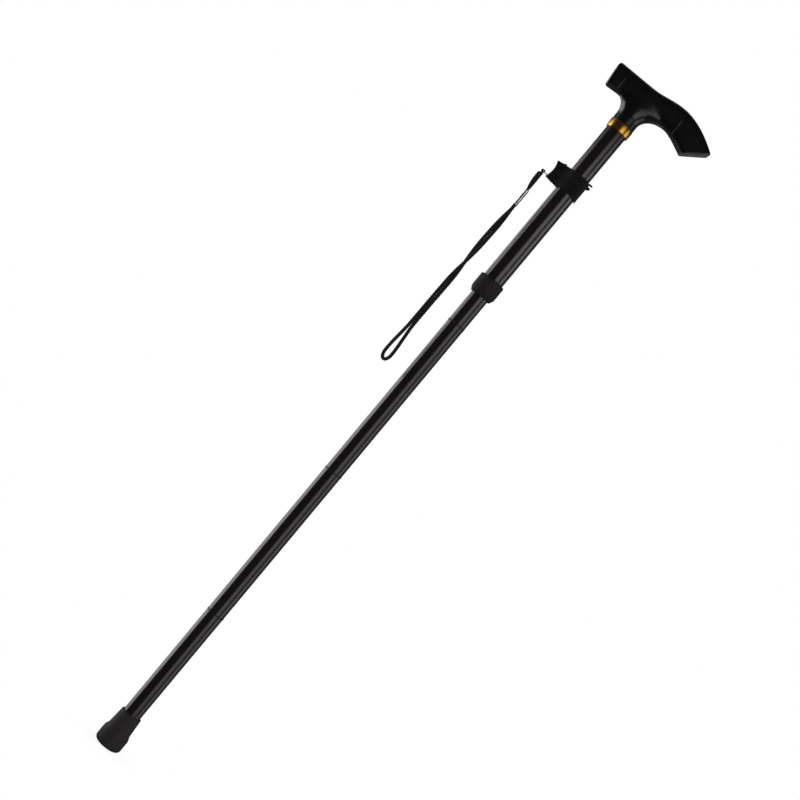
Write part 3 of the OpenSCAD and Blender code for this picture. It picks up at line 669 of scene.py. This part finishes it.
for name, over, under, solids, top, bend, foot, loop, stoppers in ELASTIC_LENGTHS:
    zone_top = bend * MM + LOOP_ZONE / 2
    heights = [top * MM - (top * MM - zone_top) * k / 24 for k in range(25)]
    heights += [zone_top - LOOP_ZONE * k / LOOP_RINGS for k in range(1, LOOP_RINGS + 1)]
    heights += [heights[-1] - (heights[-1] - foot * MM) * k / 24 for k in range(1, 25)]
    bm = bmesh.new()
    cord_tube(bm, [Vector((0, 0, h)) for h in heights], ELASTIC_R, 16)
    runs = bm.verts.layers.float["run"]
    for vert in bm.verts:
        into = min(max((zone_top - vert.co.z) / LOOP_ZONE, 0), 1)
        vert[runs] += into * loop * MM
    for height in stoppers:
        overhand_knot(bm, Vector((0, 0, height * MM)), Matrix.Identity(3), STOPPER_SPREAD, STOPPER_RISE,
                      STOPPER_CORD_R)
    wrap_uv(bm, 2 * math.pi * ELASTIC_R)
    length = make_piece(name, bm, elastic_white, None, sharp=180)
    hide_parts(*solids)
    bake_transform(length, over, under, start=(0, 0, zone_top), end=(0, 0, zone_top - LOOP_ZONE))


# The ferrule: black rubber tip, moulded in one, pushed over the foot tube onto a steel washer. It has a wide
# round base, a shoulder, a tapered neck with a soft rim, and two ring grooves of tread in the sole.
def turned(outline, steps=128):
    """Turns an outline of (radius, height, rounding) rows about the shaft's axis, in millimetres."""
    bm = bmesh.new()
    corners = [bm.verts.new((r * MM, 0, h * MM)) for r, h, _ in outline]
    for one, two in zip(corners, corners[1:]):
        bm.edges.new((one, two))
    if outline[0][0] and outline[-1][0]:
        bm.edges.new((corners[-1], corners[0]))
    for corner, (_, _, rounding) in zip(corners, outline):
        if rounding:
            bmesh.ops.bevel(bm, geom=[corner], offset=rounding * MM, offset_type="OFFSET", segments=6,
                            profile=0.5, affect="VERTICES", material=-1)
    bmesh.ops.spin(bm, geom=bm.verts[:] + bm.edges[:], cent=(0, 0, 0), axis=(0, 0, 1), angle=2 * math.pi,
                   steps=steps, use_merge=True)
    bmesh.ops.remove_doubles(bm, verts=bm.verts, dist=1e-6)
    return bm


FERRULE_OUTLINE = (
    (0, 0, 0), (4.275, 0, 0.15), (4.275, 1.2, 0.15), (5.675, 1.2, 0.15), (5.675, 0, 0.15), (7.275, 0, 0.15),
    (7.275, 1.2, 0.15), (8.675, 1.2, 0.15), (8.675, 0, 0.15), (14.57, 0, 4.5), (14.57, 16, 1.4),
    (12.675, 20, 1.6), (11.175, 39.5, 0.6), (9.575, 39.5, 0.3), (9.575, 6.5, 0), (0, 6.5, 0),
)
tip_rubber = plastic_finish("tip_rubber", (0.0125, 0.0095, 0.012), (0.019, 0.015, 0.0185), 0.5, 0.72, 1500,
                            0.00004, 0.3)
rubber_tip = make_piece("rubber_tip", turned(FERRULE_OUTLINE), tip_rubber, "foot_section", sharp=35)
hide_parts("ferrule")
washer_steel = metal_finish("washer_steel", (0.45, 0.45, 0.46), (0.6, 0.6, 0.61), 0.3, 0.5, 900, 900, 0.00002)
dress(washer_steel, "ferrule_washer")


# The height setting: a domed nickel button on a leaf spring, bent from steel strip, snaps out of the adjuster
# tube through one of the seven holes in the back of the upper tube. The real leaf closes up as the button
# goes in; here it keeps its open shape.
LEAF_THICK = 0.7 * MM
LEAF_CORNER = 2 * MM
button_nickel = metal_finish("button_nickel", (0.6, 0.59, 0.57), (0.76, 0.75, 0.73), 0.14, 0.3, 1400, 1400,
                             0.00002)
dress(button_nickel, "snap_button")
leaf_steel = metal_finish("leaf_steel", (0.4, 0.41, 0.42), (0.56, 0.57, 0.58), 0.2, 0.4, 2600, 60, 0.00002)
dress(leaf_steel, "handle_pin")


def carry_on(bm, edges):
    """Extrudes edges, and gives the new points and the new edges between them."""
    grown = bmesh.ops.extrude_edge_only(bm, edges=edges)["geom"]
    fresh = {part for part in grown if isinstance(part, bmesh.types.BMVert)}
    ends = [part for part in grown if isinstance(part, bmesh.types.BMEdge) and set(part.verts) <= fresh]
    return list(fresh), ends


def draw_strip(bm, edge, vec):
    """Carries an edge on by a vector, as a strip, and gives the strip's new end."""
    fresh, ends = carry_on(bm, [edge])
    bmesh.ops.translate(bm, verts=fresh, vec=vec)
    return ends[0]


def thicken(obj, thickness):
    """Gives a sheet its thickness, half to each side."""
    wall = obj.modifiers.new("thickness", "SOLIDIFY")
    wall.thickness = thickness
    wall.offset = 0
    wall.use_even_offset = True


leaf_low, leaf_high = (Vector(corner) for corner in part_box("snap_spring"))
leg_front, leg_back = leaf_high.y - LEAF_THICK / 2, leaf_low.y + LEAF_THICK / 2
bend_r = (leg_front - leg_back) / 2
bend_height = leaf_high.z - LEAF_THICK / 2 - bend_r
leg = Vector((0, 0, bend_height - leaf_low.z))
bm = bmesh.new()
foot = bm.edges.new([bm.verts.new((x, leg_front, leaf_low.z)) for x in (leaf_low.x, leaf_high.x)])
tip = draw_strip(bm, foot, leg)
bent = bmesh.ops.spin(bm, geom=[*tip.verts, tip], cent=(0, leg_front - bend_r, bend_height), axis=(1, 0, 0),
                      angle=math.pi, steps=24)["geom_last"]
far = draw_strip(bm, next(part for part in bent if isinstance(part, bmesh.types.BMEdge)), -leg)
bmesh.ops.bevel(bm, geom=[*foot.verts, *far.verts], offset=LEAF_CORNER, offset_type="OFFSET", segments=4,
                profile=0.5, affect="VERTICES", material=-1)
leaf_spring = make_piece("leaf_spring", bm, leaf_steel, "adjuster", sharp=50)
thicken(leaf_spring, LEAF_THICK)
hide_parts("snap_spring")
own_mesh(leaf_spring)


# The lock collar: matte black nylon, turned a quarter to grip the adjuster tube. It screws on a threaded bush
# that is pressed on the end of the upper tube, and it has a bevel below and a small one on its top edge.
COLLAR_OUTLINE = (
    (9.685, 569.8, 0.2), (11.105, 569.8, 0.3), (13.585, 574.3, 1.2), (13.585, 589.4, 0.4),
    (12.685, 590.3, 0.3), (12.185, 590.3, 0.1), (12.185, 573, 0), (9.685, 573, 0.2),
)
collar_nylon = plastic_finish("collar_nylon", (0.0085, 0.006, 0.0068), (0.013, 0.0097, 0.0107), 0.5, 0.68,
                              2200, 0.00003, 0.25)
lock_collar = make_piece("lock_collar", turned(COLLAR_OUTLINE), collar_nylon, "collar",
                         sharp=35)
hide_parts("locking_collar")
dress(collar_nylon, "collet_bush")


# The neck ring: a brass tube, gold plated and polished, pushed up the upper tube under the handle. It widens
# a little towards the handle, and both outer edges are rolled round.
RING_OUTLINE = ((11.155, 777.8, 0.15), (12.52, 777.8, 0.95), (12.805, 787.6, 0.95), (11.155, 787.6, 0.15))
ring_gold = metal_finish("ring_gold", (0.66, 0.33, 0.05), (0.8, 0.43, 0.09), 0.19, 0.25, 120, 1600, 0.000004)
gold_ring = make_piece("gold_ring", turned(RING_OUTLINE), ring_gold, "handle_section", sharp=50)
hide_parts("neck_ring")


# The handle: one black moulding, a derby bar on a neck that flares out along it, pinned to the upper tube.
# Fine mould lines stand up on its sides, in front of the flare and behind it, pale partly as painted
# highlight.
NECK_FOOT = 787.6
NECK_R = 12.305
FLARE_HEIGHT = 16.8
FLARE_FRONT = 16
FLARE_BACK = 22
FLARE_HALF_WIDTH = 12.805
FLARE_SQUARENESS = 2.3
BAR_FOOT = 22.6
BAR_HEIGHT = 22.9
BAR_HALF_WIDTH = 13.005
BAR_SQUARENESS = 4
TAIL_SQUARENESS = 8
WAIST_SQUARENESS = 2
WAIST_X = 14
WAIST_REACH = 34
NOSE_X = -40
NOSE_DROP = 2.4
NOSE_ROUND = 3
NOSE_LEAN = 0.8
CROWN_X = 36
CROWN_RISE = 4.2
TAIL_TIP_X = 84
TAIL_FALL = 18.5
TAIL_BEND = 1.8
BELLY_X = 34.5
BELLY_SLOPE = 0.48
BELLY_TURN = 10
TAIL_X = 61.2


def bar_top(x):
    """Top line of the bar over the ring, in millimetres."""
    rise = CROWN_RISE * (1 - math.cos(math.pi * min(max(x / CROWN_X, 0), 1))) / 2
    past_crown = max(x - CROWN_X, 0) / (TAIL_TIP_X - CROWN_X)
    return BAR_FOOT + BAR_HEIGHT + rise - TAIL_FALL * past_crown ** TAIL_BEND


def bar_low(x):
    """Underside of the bar over the ring, in millimetres."""
    if x < 0:
        return BAR_FOOT + NOSE_DROP * x / -NOSE_X
    return BAR_FOOT - BELLY_SLOPE * (math.hypot(max(x - BELLY_X, 0), BELLY_TURN) - BELLY_TURN)


def bar_squareness(x):
    """Squareness of the bar's section, which grows towards the tail's flat end."""
    return BAR_SQUARENESS + (TAIL_SQUARENESS - BAR_SQUARENESS) * max(x - CROWN_X, 0) / (TAIL_TIP_X - CROWN_X)


def low_squareness(x):
    """Squareness of the lower half of the section, which is rounder about the neck."""
    near = max(1 - ((x - WAIST_X) / WAIST_REACH) ** 2, 0) ** 2
    return bar_squareness(x) + (WAIST_SQUARENESS - bar_squareness(x)) * near


def bar_ring(bm, x, inset):
    """Ring of the bar's section at x, drawn in by an inset."""
    low, high = bar_low(x) + inset, bar_top(x) - inset
    lean = NOSE_LEAN * max(-x, 0) / -NOSE_X
    ring = bmesh.ops.create_circle(bm, segments=96, radius=1)["verts"]
    for vert in ring:
        square = bar_squareness(x) if vert.co.y > 0 else low_squareness(x)
        rise = swell(vert.co.y, square)
        vert.co = Vector((x - lean * rise, (BAR_HALF_WIDTH - inset) * swell(vert.co.x, square),
                          NECK_FOOT + (low + high) / 2 + (high - low) / 2 * rise)) * MM
    return loop_edges(ring)


def neck_ring(bm, share, z):
    """Level oval of the neck at a height over the ring, grown by a share of the flare."""
    ring = bmesh.ops.create_circle(bm, segments=96, radius=1)["verts"]
    square = 2 + (FLARE_SQUARENESS - 2) * share
    for vert in ring:
        reach = FLARE_FRONT if vert.co.x < 0 else FLARE_BACK
        vert.co = Vector((swell(vert.co.x, square) * (NECK_R + reach * share),
                          swell(vert.co.y, square) * (NECK_R + (FLARE_HALF_WIDTH - NECK_R) * share),
                          NECK_FOOT + z)) * MM
    return loop_edges(ring)


def cut_off(bm, point, normal):
    """Cuts away what lies past a plane, and gives the edges of the cut."""
    cut = bmesh.ops.bisect_plane(bm, geom=bm.verts[:] + bm.edges[:] + bm.faces[:], plane_co=point,
                                 plane_no=normal, clear_outer=True)["geom_cut"]
    return [part for part in cut if isinstance(part, bmesh.types.BMEdge)]


SECTION_STEP, SECTIONS = 2, 67
FLARE_STEPS = 20
NECK_SPARE = 3
SKIN_STEP = 0.55 * MM
bm = bmesh.new()
nose = [bar_ring(bm, NOSE_X + NOSE_ROUND * (1 - math.cos(a)), NOSE_ROUND * (1 - math.sin(a)))
        for a in (math.radians(10 * k) for k in range(9))]
loft(bm, nose + [bar_ring(bm, NOSE_X + NOSE_ROUND + SECTION_STEP * k, 0) for k in range(SECTIONS)])
flare = [neck_ring(bm, 0, -NECK_SPARE)]
for k in range(FLARE_STEPS + 1):
    a = math.radians(90 * k / FLARE_STEPS)
    flare.append(neck_ring(bm, 1 - math.cos(a), BAR_FOOT - FLARE_HEIGHT * (1 - math.sin(a))))
loft(bm, flare + [neck_ring(bm, 1, BAR_FOOT + BAR_HEIGHT / 2)])
bmesh.ops.recalc_face_normals(bm, faces=bm.faces)


def merged_skin(bm, voxel):
    """One even skin over closed shapes that overlap."""
    rough = bpy.data.meshes.new("rough")
    bm.to_mesh(rough)
    bm.free()
    block = bpy.data.objects.new("block", rough)
    scene.collection.objects.link(block)
    melt = block.modifiers.new("melt", "REMESH")
    melt.mode = "VOXEL"
    melt.voxel_size = voxel
    even = bpy.data.meshes.new_from_object(block.evaluated_get(bpy.context.evaluated_depsgraph_get()))
    made = bmesh.new()
    made.from_mesh(even)
    bpy.data.objects.remove(block)
    bpy.data.meshes.remove(rough)
    bpy.data.meshes.remove(even)
    return made


handle_bm = merged_skin(bm, SKIN_STEP)


def rub_smooth(bm, verts, passes):
    """Rubs a patch of skin smooth, a little at each pass."""
    for _ in range(passes):
        bmesh.ops.smooth_vert(bm, verts=verts, factor=0.5, use_axis_x=True, use_axis_y=True, use_axis_z=True)


rub_smooth(handle_bm, handle_bm.verts, 5)
# the flare runs into the bar by a wide soft hollow, rubbed most in its middle
RUB_FRONT, RUB_BACK = NOSE_X + 4, TAIL_X - 8
RUB_FOOT, RUB_HEAD = 8, BAR_FOOT + 13
for margin in range(0, 14, 2):
    flared = [v for v in handle_bm.verts if RUB_FRONT + margin < v.co.x / MM < RUB_BACK - margin
              and RUB_FOOT < v.co.z / MM - NECK_FOOT < RUB_HEAD - margin / 2]
    rub_smooth(handle_bm, flared, 10)
socket_rim = cut_off(handle_bm, (0, 0, NECK_FOOT * MM), (0, 0, -1))


def draw_rim(bm, rim, centre, outward, steps):
    """Carries an open rim outward and towards its middle by (out, in) steps, and closes it by a flat face."""
    for out, inward in steps:
        fresh, rim = carry_on(bm, rim)
        for vert in fresh:
            across = vert.co - centre
            across -= outward * across.dot(outward)
            vert.co += outward * out * MM - across.normalized() * inward * MM
    bmesh.ops.edgeloop_fill(bm, edges=rim)


SOCKET_WALL, SOCKET_DEPTH = 1.1, 28
draw_rim(handle_bm, socket_rim, Vector((0, 0, NECK_FOOT * MM)), Vector((0, 0, -1)),
         ((0, SOCKET_WALL), (-SOCKET_DEPTH, 0)))
TAIL_FOOT = Vector((TAIL_X, 0, NECK_FOOT + bar_low(TAIL_X))) * MM
TAIL_SLANT = math.radians(36)
TAIL_OUT = Vector((math.sin(TAIL_SLANT), 0, -math.cos(TAIL_SLANT)))
TAIL_HALF_FACE = 15
TAIL_MIDDLE = TAIL_FOOT + Vector((math.cos(TAIL_SLANT), 0, math.sin(TAIL_SLANT))) * TAIL_HALF_FACE * MM
# the rounding of the face's edge, and its depth
TAIL_EDGE = ((0.4, 0.06), (0.3, 0.2), (0.15, 0.3), (0.05, 0.35))
TAIL_EDGE_DEPTH = 0.9
tail_rim = cut_off(handle_bm, TAIL_FOOT - TAIL_OUT * TAIL_EDGE_DEPTH * MM, TAIL_OUT)
draw_rim(handle_bm, tail_rim, TAIL_MIDDLE, TAIL_OUT, TAIL_EDGE)
handle_black = plastic_finish("handle_black", (0.0012, 0.0011, 0.0013), (0.0026, 0.0024, 0.0028), 0.18, 0.26,
                              3400, 0.00001, 0.65)
handle_moulding = make_piece("handle_moulding", handle_bm, handle_black, "handle_section",
                             sharp=50)
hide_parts("handle_body")

MOULD_LINE_R, LINE_THIN_R, LINE_THICK_R = 0.3, 0.16, 0.42
MOULD_LINE_LIFT = 0.8
MOULD_LINE_SUNK = 0.12
MOULD_LINE_POINTS = 24
# the stretches of each line, as shares of its height with their radius
FRONT_LINE = ((0, 1, MOULD_LINE_R),)
BACK_LINE = ((0, 0.25, LINE_THICK_R), (0.25, 0.62, LINE_THIN_R), (0.62, 1, LINE_THICK_R))
bm = bmesh.new()
# place along the bar, and top end
for x, top, stretches in ((-26.6, 34, FRONT_LINE), (42, 37, BACK_LINE)):
    base = bar_low(x) + MOULD_LINE_LIFT
    square = bar_squareness(x)
    middle, half = (bar_top(x) + bar_low(x)) / 2, (bar_top(x) - bar_low(x)) / 2
    for start, stop, radius in stretches:
        for side in (-1, 1):
            way = []
            for k in range(MOULD_LINE_POINTS):
                z = base + (top - base) * (start + (stop - start) * k / (MOULD_LINE_POINTS - 1))
                out = BAR_HALF_WIDTH * (1 - abs((z - middle) / half) ** square) ** (1 / square)
                way.append(Vector((x, side * (out - MOULD_LINE_SUNK), NECK_FOOT + z)) * MM)
            cord_tube(bm, way, radius * MM, 10)
# the lines' pale grey is partly the whitening of moulding flash and partly a painted highlight along the edge
worn_line = plastic_finish("worn_line", (0.02, 0.019, 0.021), (0.07, 0.067, 0.073), 0.3, 0.45, 1800, 0.00001,
                           0.5)
make_piece("mould_lines", bm, worn_line, "handle_section", sharp=180)


# The holder strap: black hook-and-loop tape, one strip wrapped round the upper tube, its two plies pressed
# together as a flap on the nose side. It holds the wrist loop's thread, and ties the folded cane together.
STRAP_FOOT = 700.2
STRAP_WIDTH = 22
STRAP_THICK = 1.2
STRAP_R = 11.755
FLAP_TIP = -26.355
FLAP_HOLLOW = 2.1
FLAP_TAPER = 1.2
FLAP_SHAPED = 8
FLAP_BUMP, FLAP_BUMP_X, FLAP_BUMP_REACH, FLAP_BUMP_SHARE = 1.5, -17.5, 2.2, 0.2
STRAP_ROWS = 32
STRAP_STEP = 0.6
STRAP_WAVE, STRAP_WAVE_AROUND, STRAP_WAVE_UP = 0.1, 0.16, 0.14
WRAP_START, WRAP_TURN = 222.7, 13.73
WRAP_X = -13
half_way = [Vector((x, y, 0)) for x, y in (
    (FLAP_TIP, -0.65), (-24, -0.65), (-21, -0.65), (-18.5, -0.66), (-16.6, -0.78), (-15.2, -1.4),
    (-13.5, -2.8), (-11.1, -5.33))]
half_way += [Vector((STRAP_R * math.cos(a), STRAP_R * math.sin(a), 0))
             for a in (math.radians(WRAP_START + WRAP_TURN * k) for k in range(11))]
strap_way = smooth_route(half_way + [Vector((p.x, -p.y, 0)) for p in half_way[-2::-1]], STRAP_STEP)
strap_length = STRAP_STEP * (len(strap_way) - 1)


def strap_sheet(bm, columns, rows, place, length):
    """Grid of cloth put in its place by (share along, share up), with a UV map in strap widths."""
    bmesh.ops.create_grid(bm, x_segments=columns, y_segments=rows, size=0.5)
    uv = bm.loops.layers.uv.new("UVMap")
    for face in bm.faces:
        for corner in face.loops:
            corner[uv].uv = ((corner.vert.co.x + 0.5) * length / STRAP_WIDTH, corner.vert.co.y + 0.5)
    for vert in bm.verts:
        vert.co = place(vert.co.x + 0.5, vert.co.y + 0.5) * MM


def strap_place(along, up):
    """Point of the strap: the way round the tube, with the flap's hollow end, taper and bump."""
    at = along * (len(strap_way) - 1)
    k = min(int(at), len(strap_way) - 2)
    point = strap_way[k].lerp(strap_way[k + 1], at - k)
    tip = min(max((FLAP_TIP + FLAP_SHAPED - point.x) / FLAP_SHAPED, 0), 1)
    height = (up - 0.5) * (STRAP_WIDTH - 2 * FLAP_TAPER * tip)
    if along > 0.5:
        near = max(0, 1 - abs(point.x - FLAP_BUMP_X) / FLAP_BUMP_REACH)
        height += FLAP_BUMP * near * max(0, up - 1 + FLAP_BUMP_SHARE) / FLAP_BUMP_SHARE
    point.x += FLAP_HOLLOW * (1 - (2 * up - 1) ** 2) * tip
    around = point * STRAP_WAVE_AROUND
    wave = noise.noise(Vector((around.x, around.y, height * STRAP_WAVE_UP))) * STRAP_WAVE
    out = Vector((point.x, point.y, 0)).normalized() * wave if point.x > WRAP_X else Vector((0, wave, 0))
    return point + out + Vector((0, 0, STRAP_FOOT + STRAP_WIDTH / 2 + height))


strap_tape, tree, shader = new_finish("strap_tape", Specular_IOR_Level=0.12, Sheen_Weight=0.03,
                                      Sheen_Roughness=0.6)
uv_node = tree.nodes.new("ShaderNodeUVMap")
split = tree.nodes.new("ShaderNodeSeparateXYZ")
link(tree, uv_node.outputs[0], split.inputs[0])
loops = tree.nodes.new("ShaderNodeTexVoronoi")
loops.inputs["Scale"].default_value = 52
link(tree, uv_node.outputs[0], loops.inputs["Vector"])
nap = speckle(tree, uv_node.outputs[0], 95, 4)
pile = math_node(tree, "ADD", math_node(tree, "MULTIPLY", loops.outputs["Distance"], 0.8),
                 math_node(tree, "MULTIPLY", nap, 0.6))
from_edge = math_node(tree, "ABSOLUTE", math_node(tree, "SUBTRACT", split.outputs["Y"], 0.5))
selvedge = grade(tree, from_edge, 0.425, 0.44, 0, 1, "LINEAR")
ribs = math_node(tree, "SINE", math_node(tree, "MULTIPLY", split.outputs["X"], 320))
rib_height = math_node(tree, "MULTIPLY_ADD", ribs, 0.2, 0.35)
cloth = tree.nodes.new("ShaderNodeMix")
link(tree, selvedge, cloth.inputs["Factor"])
link(tree, pile, cloth.inputs[2])
link(tree, rib_height, cloth.inputs[3])
two_tone(tree, nap, (0.002, 0.0015, 0.0018), (0.0068, 0.0052, 0.006), shader.inputs["Base Color"])
value_range(tree, cloth.outputs[0], 0.95, 0.8, shader.inputs["Roughness"])
raise_bump(tree, shader, cloth.outputs[0], 0.8, 0.0003)


def soften(obj, width, segments, limit):
    """Rounds the edges of a piece that are sharper than a limit in degrees."""
    edge = obj.modifiers.new("soft_edge", "BEVEL")
    edge.width = width * MM
    edge.segments = segments
    edge.limit_method = "ANGLE"
    edge.angle_limit = math.radians(limit)


def sewn_piece(name, bm, thickness):
    """Piece of strap with its thickness and softened edges."""
    obj = make_piece(name, bm, strap_tape, "handle_section", sharp=60)
    thicken(obj, thickness * MM)
    soften(obj, 0.22, 2, 55)
    return obj


bm = bmesh.new()
strap_sheet(bm, len(strap_way) - 1, STRAP_ROWS, strap_place, strap_length)
holder_strap = sewn_piece("holder_strap", bm, STRAP_THICK)
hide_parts("strap_band", "strap_flap")

# the outer ply that laps over the front on the tail side, and hangs lower towards its end
LAP_START, LAP_END = 8, 97
LAP_R = 12.4
LAP_DROP = 2.3
LAP_CORNER, LAP_CORNER_START = 2.2, 0.82
LAP_HEAD_GAP = 0.35
LAP_TUCK, LAP_TUCK_SHARE = 0.25, 0.12
LAP_THICK = 0.8
LAP_COLUMNS = 34


def lap_place(along, up):
    """Point of the outer ply: its turn round the tube, with its lower edge dropping to a rounded corner."""
    turn = math.radians(LAP_START + (LAP_END - LAP_START) * along)
    foot = STRAP_FOOT - LAP_DROP * along * along * (3 - 2 * along)
    foot += LAP_CORNER * max(0, (along - LAP_CORNER_START) / (1 - LAP_CORNER_START)) ** 2
    head = STRAP_FOOT + STRAP_WIDTH - LAP_HEAD_GAP
    radius = LAP_R - LAP_TUCK * max(0, 1 - along / LAP_TUCK_SHARE)
    return Vector((radius * math.sin(turn), -radius * math.cos(turn), foot + (head - foot) * up))


bm = bmesh.new()
strap_sheet(bm, LAP_COLUMNS, STRAP_ROWS, lap_place, math.radians(LAP_END - LAP_START) * LAP_R)
sewn_piece("strap_lap", bm, LAP_THICK)

TAB_ROOT_X = 12
TAB_ROOT_WIDTH, TAB_TIP_WIDTH = 5, 4.2
bm = bmesh.new()
# the two ends of the tape, folded out on the tail side: height of the middle, thickness at root and at tip,
# reach, and lift of the tip
for middle, root, tip, reach, lift in ((722.1, 1.6, 1.1, 16.2, 0), (717.6, 4.4, 1.3, 15.9, 0.7)):
    tongue = bmesh.ops.create_cube(bm, size=1)["verts"]
    for vert in tongue:
        if vert.co.x > 0:
            spot = Vector((reach, vert.co.y * TAB_TIP_WIDTH, middle + lift + vert.co.z * tip))
        else:
            spot = Vector((TAB_ROOT_X, vert.co.y * TAB_ROOT_WIDTH, middle + vert.co.z * root))
        vert.co = spot * MM
    edges = list({edge for vert in tongue for edge in vert.link_edges})
    bmesh.ops.subdivide_edges(bm, edges=edges, cuts=3, use_grid_fill=True)
uv = bm.loops.layers.uv.new("UVMap")
for face in bm.faces:
    for corner in face.loops:
        place = corner.vert.co / MM / STRAP_WIDTH
        corner[uv].uv = (place.x + place.z, 0.5 + place.y)
strap_tabs = make_piece("strap_tabs", bm, strap_tape, "handle_section", sharp=60)
soften(strap_tabs, 0.35, 3, 50)
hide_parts("strap_ends")


# The tether: a thin pale nylon thread, passed twice through the flap's lower corner and the eye of the knot.
# It is the joint on which the wrist loop swings.
THREAD_R = 0.17
THREAD_LIFT = 0.16
THREAD_HEIGHT = 703.6
THREAD_TURN = 2.05
THREAD_NEAR, THREAD_FAR = -26.205, -28.905
thread_pale = cord_finish("thread_pale", (0.5, 0.49, 0.46), (0.78, 0.77, 0.74), 2, 5, 0.0)
bm = bmesh.new()
for lift in (-THREAD_LIFT, THREAD_LIFT):
    oval = []
    for centre, start in ((THREAD_NEAR, -90), (THREAD_FAR, 90)):
        for k in range(19):
            a = math.radians(start + 10 * k)
            oval.append(Vector((centre + THREAD_TURN * math.cos(a), THREAD_TURN * math.sin(a),
                                THREAD_HEIGHT + lift)) * MM)
    cord_tube(bm, oval, THREAD_R * MM, 8, closed=True)
wrap_uv(bm, 2 * math.pi * THREAD_R * MM)
tether = make_piece("tether", bm, thread_pale, "handle_section", sharp=180)
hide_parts("tether_thread")
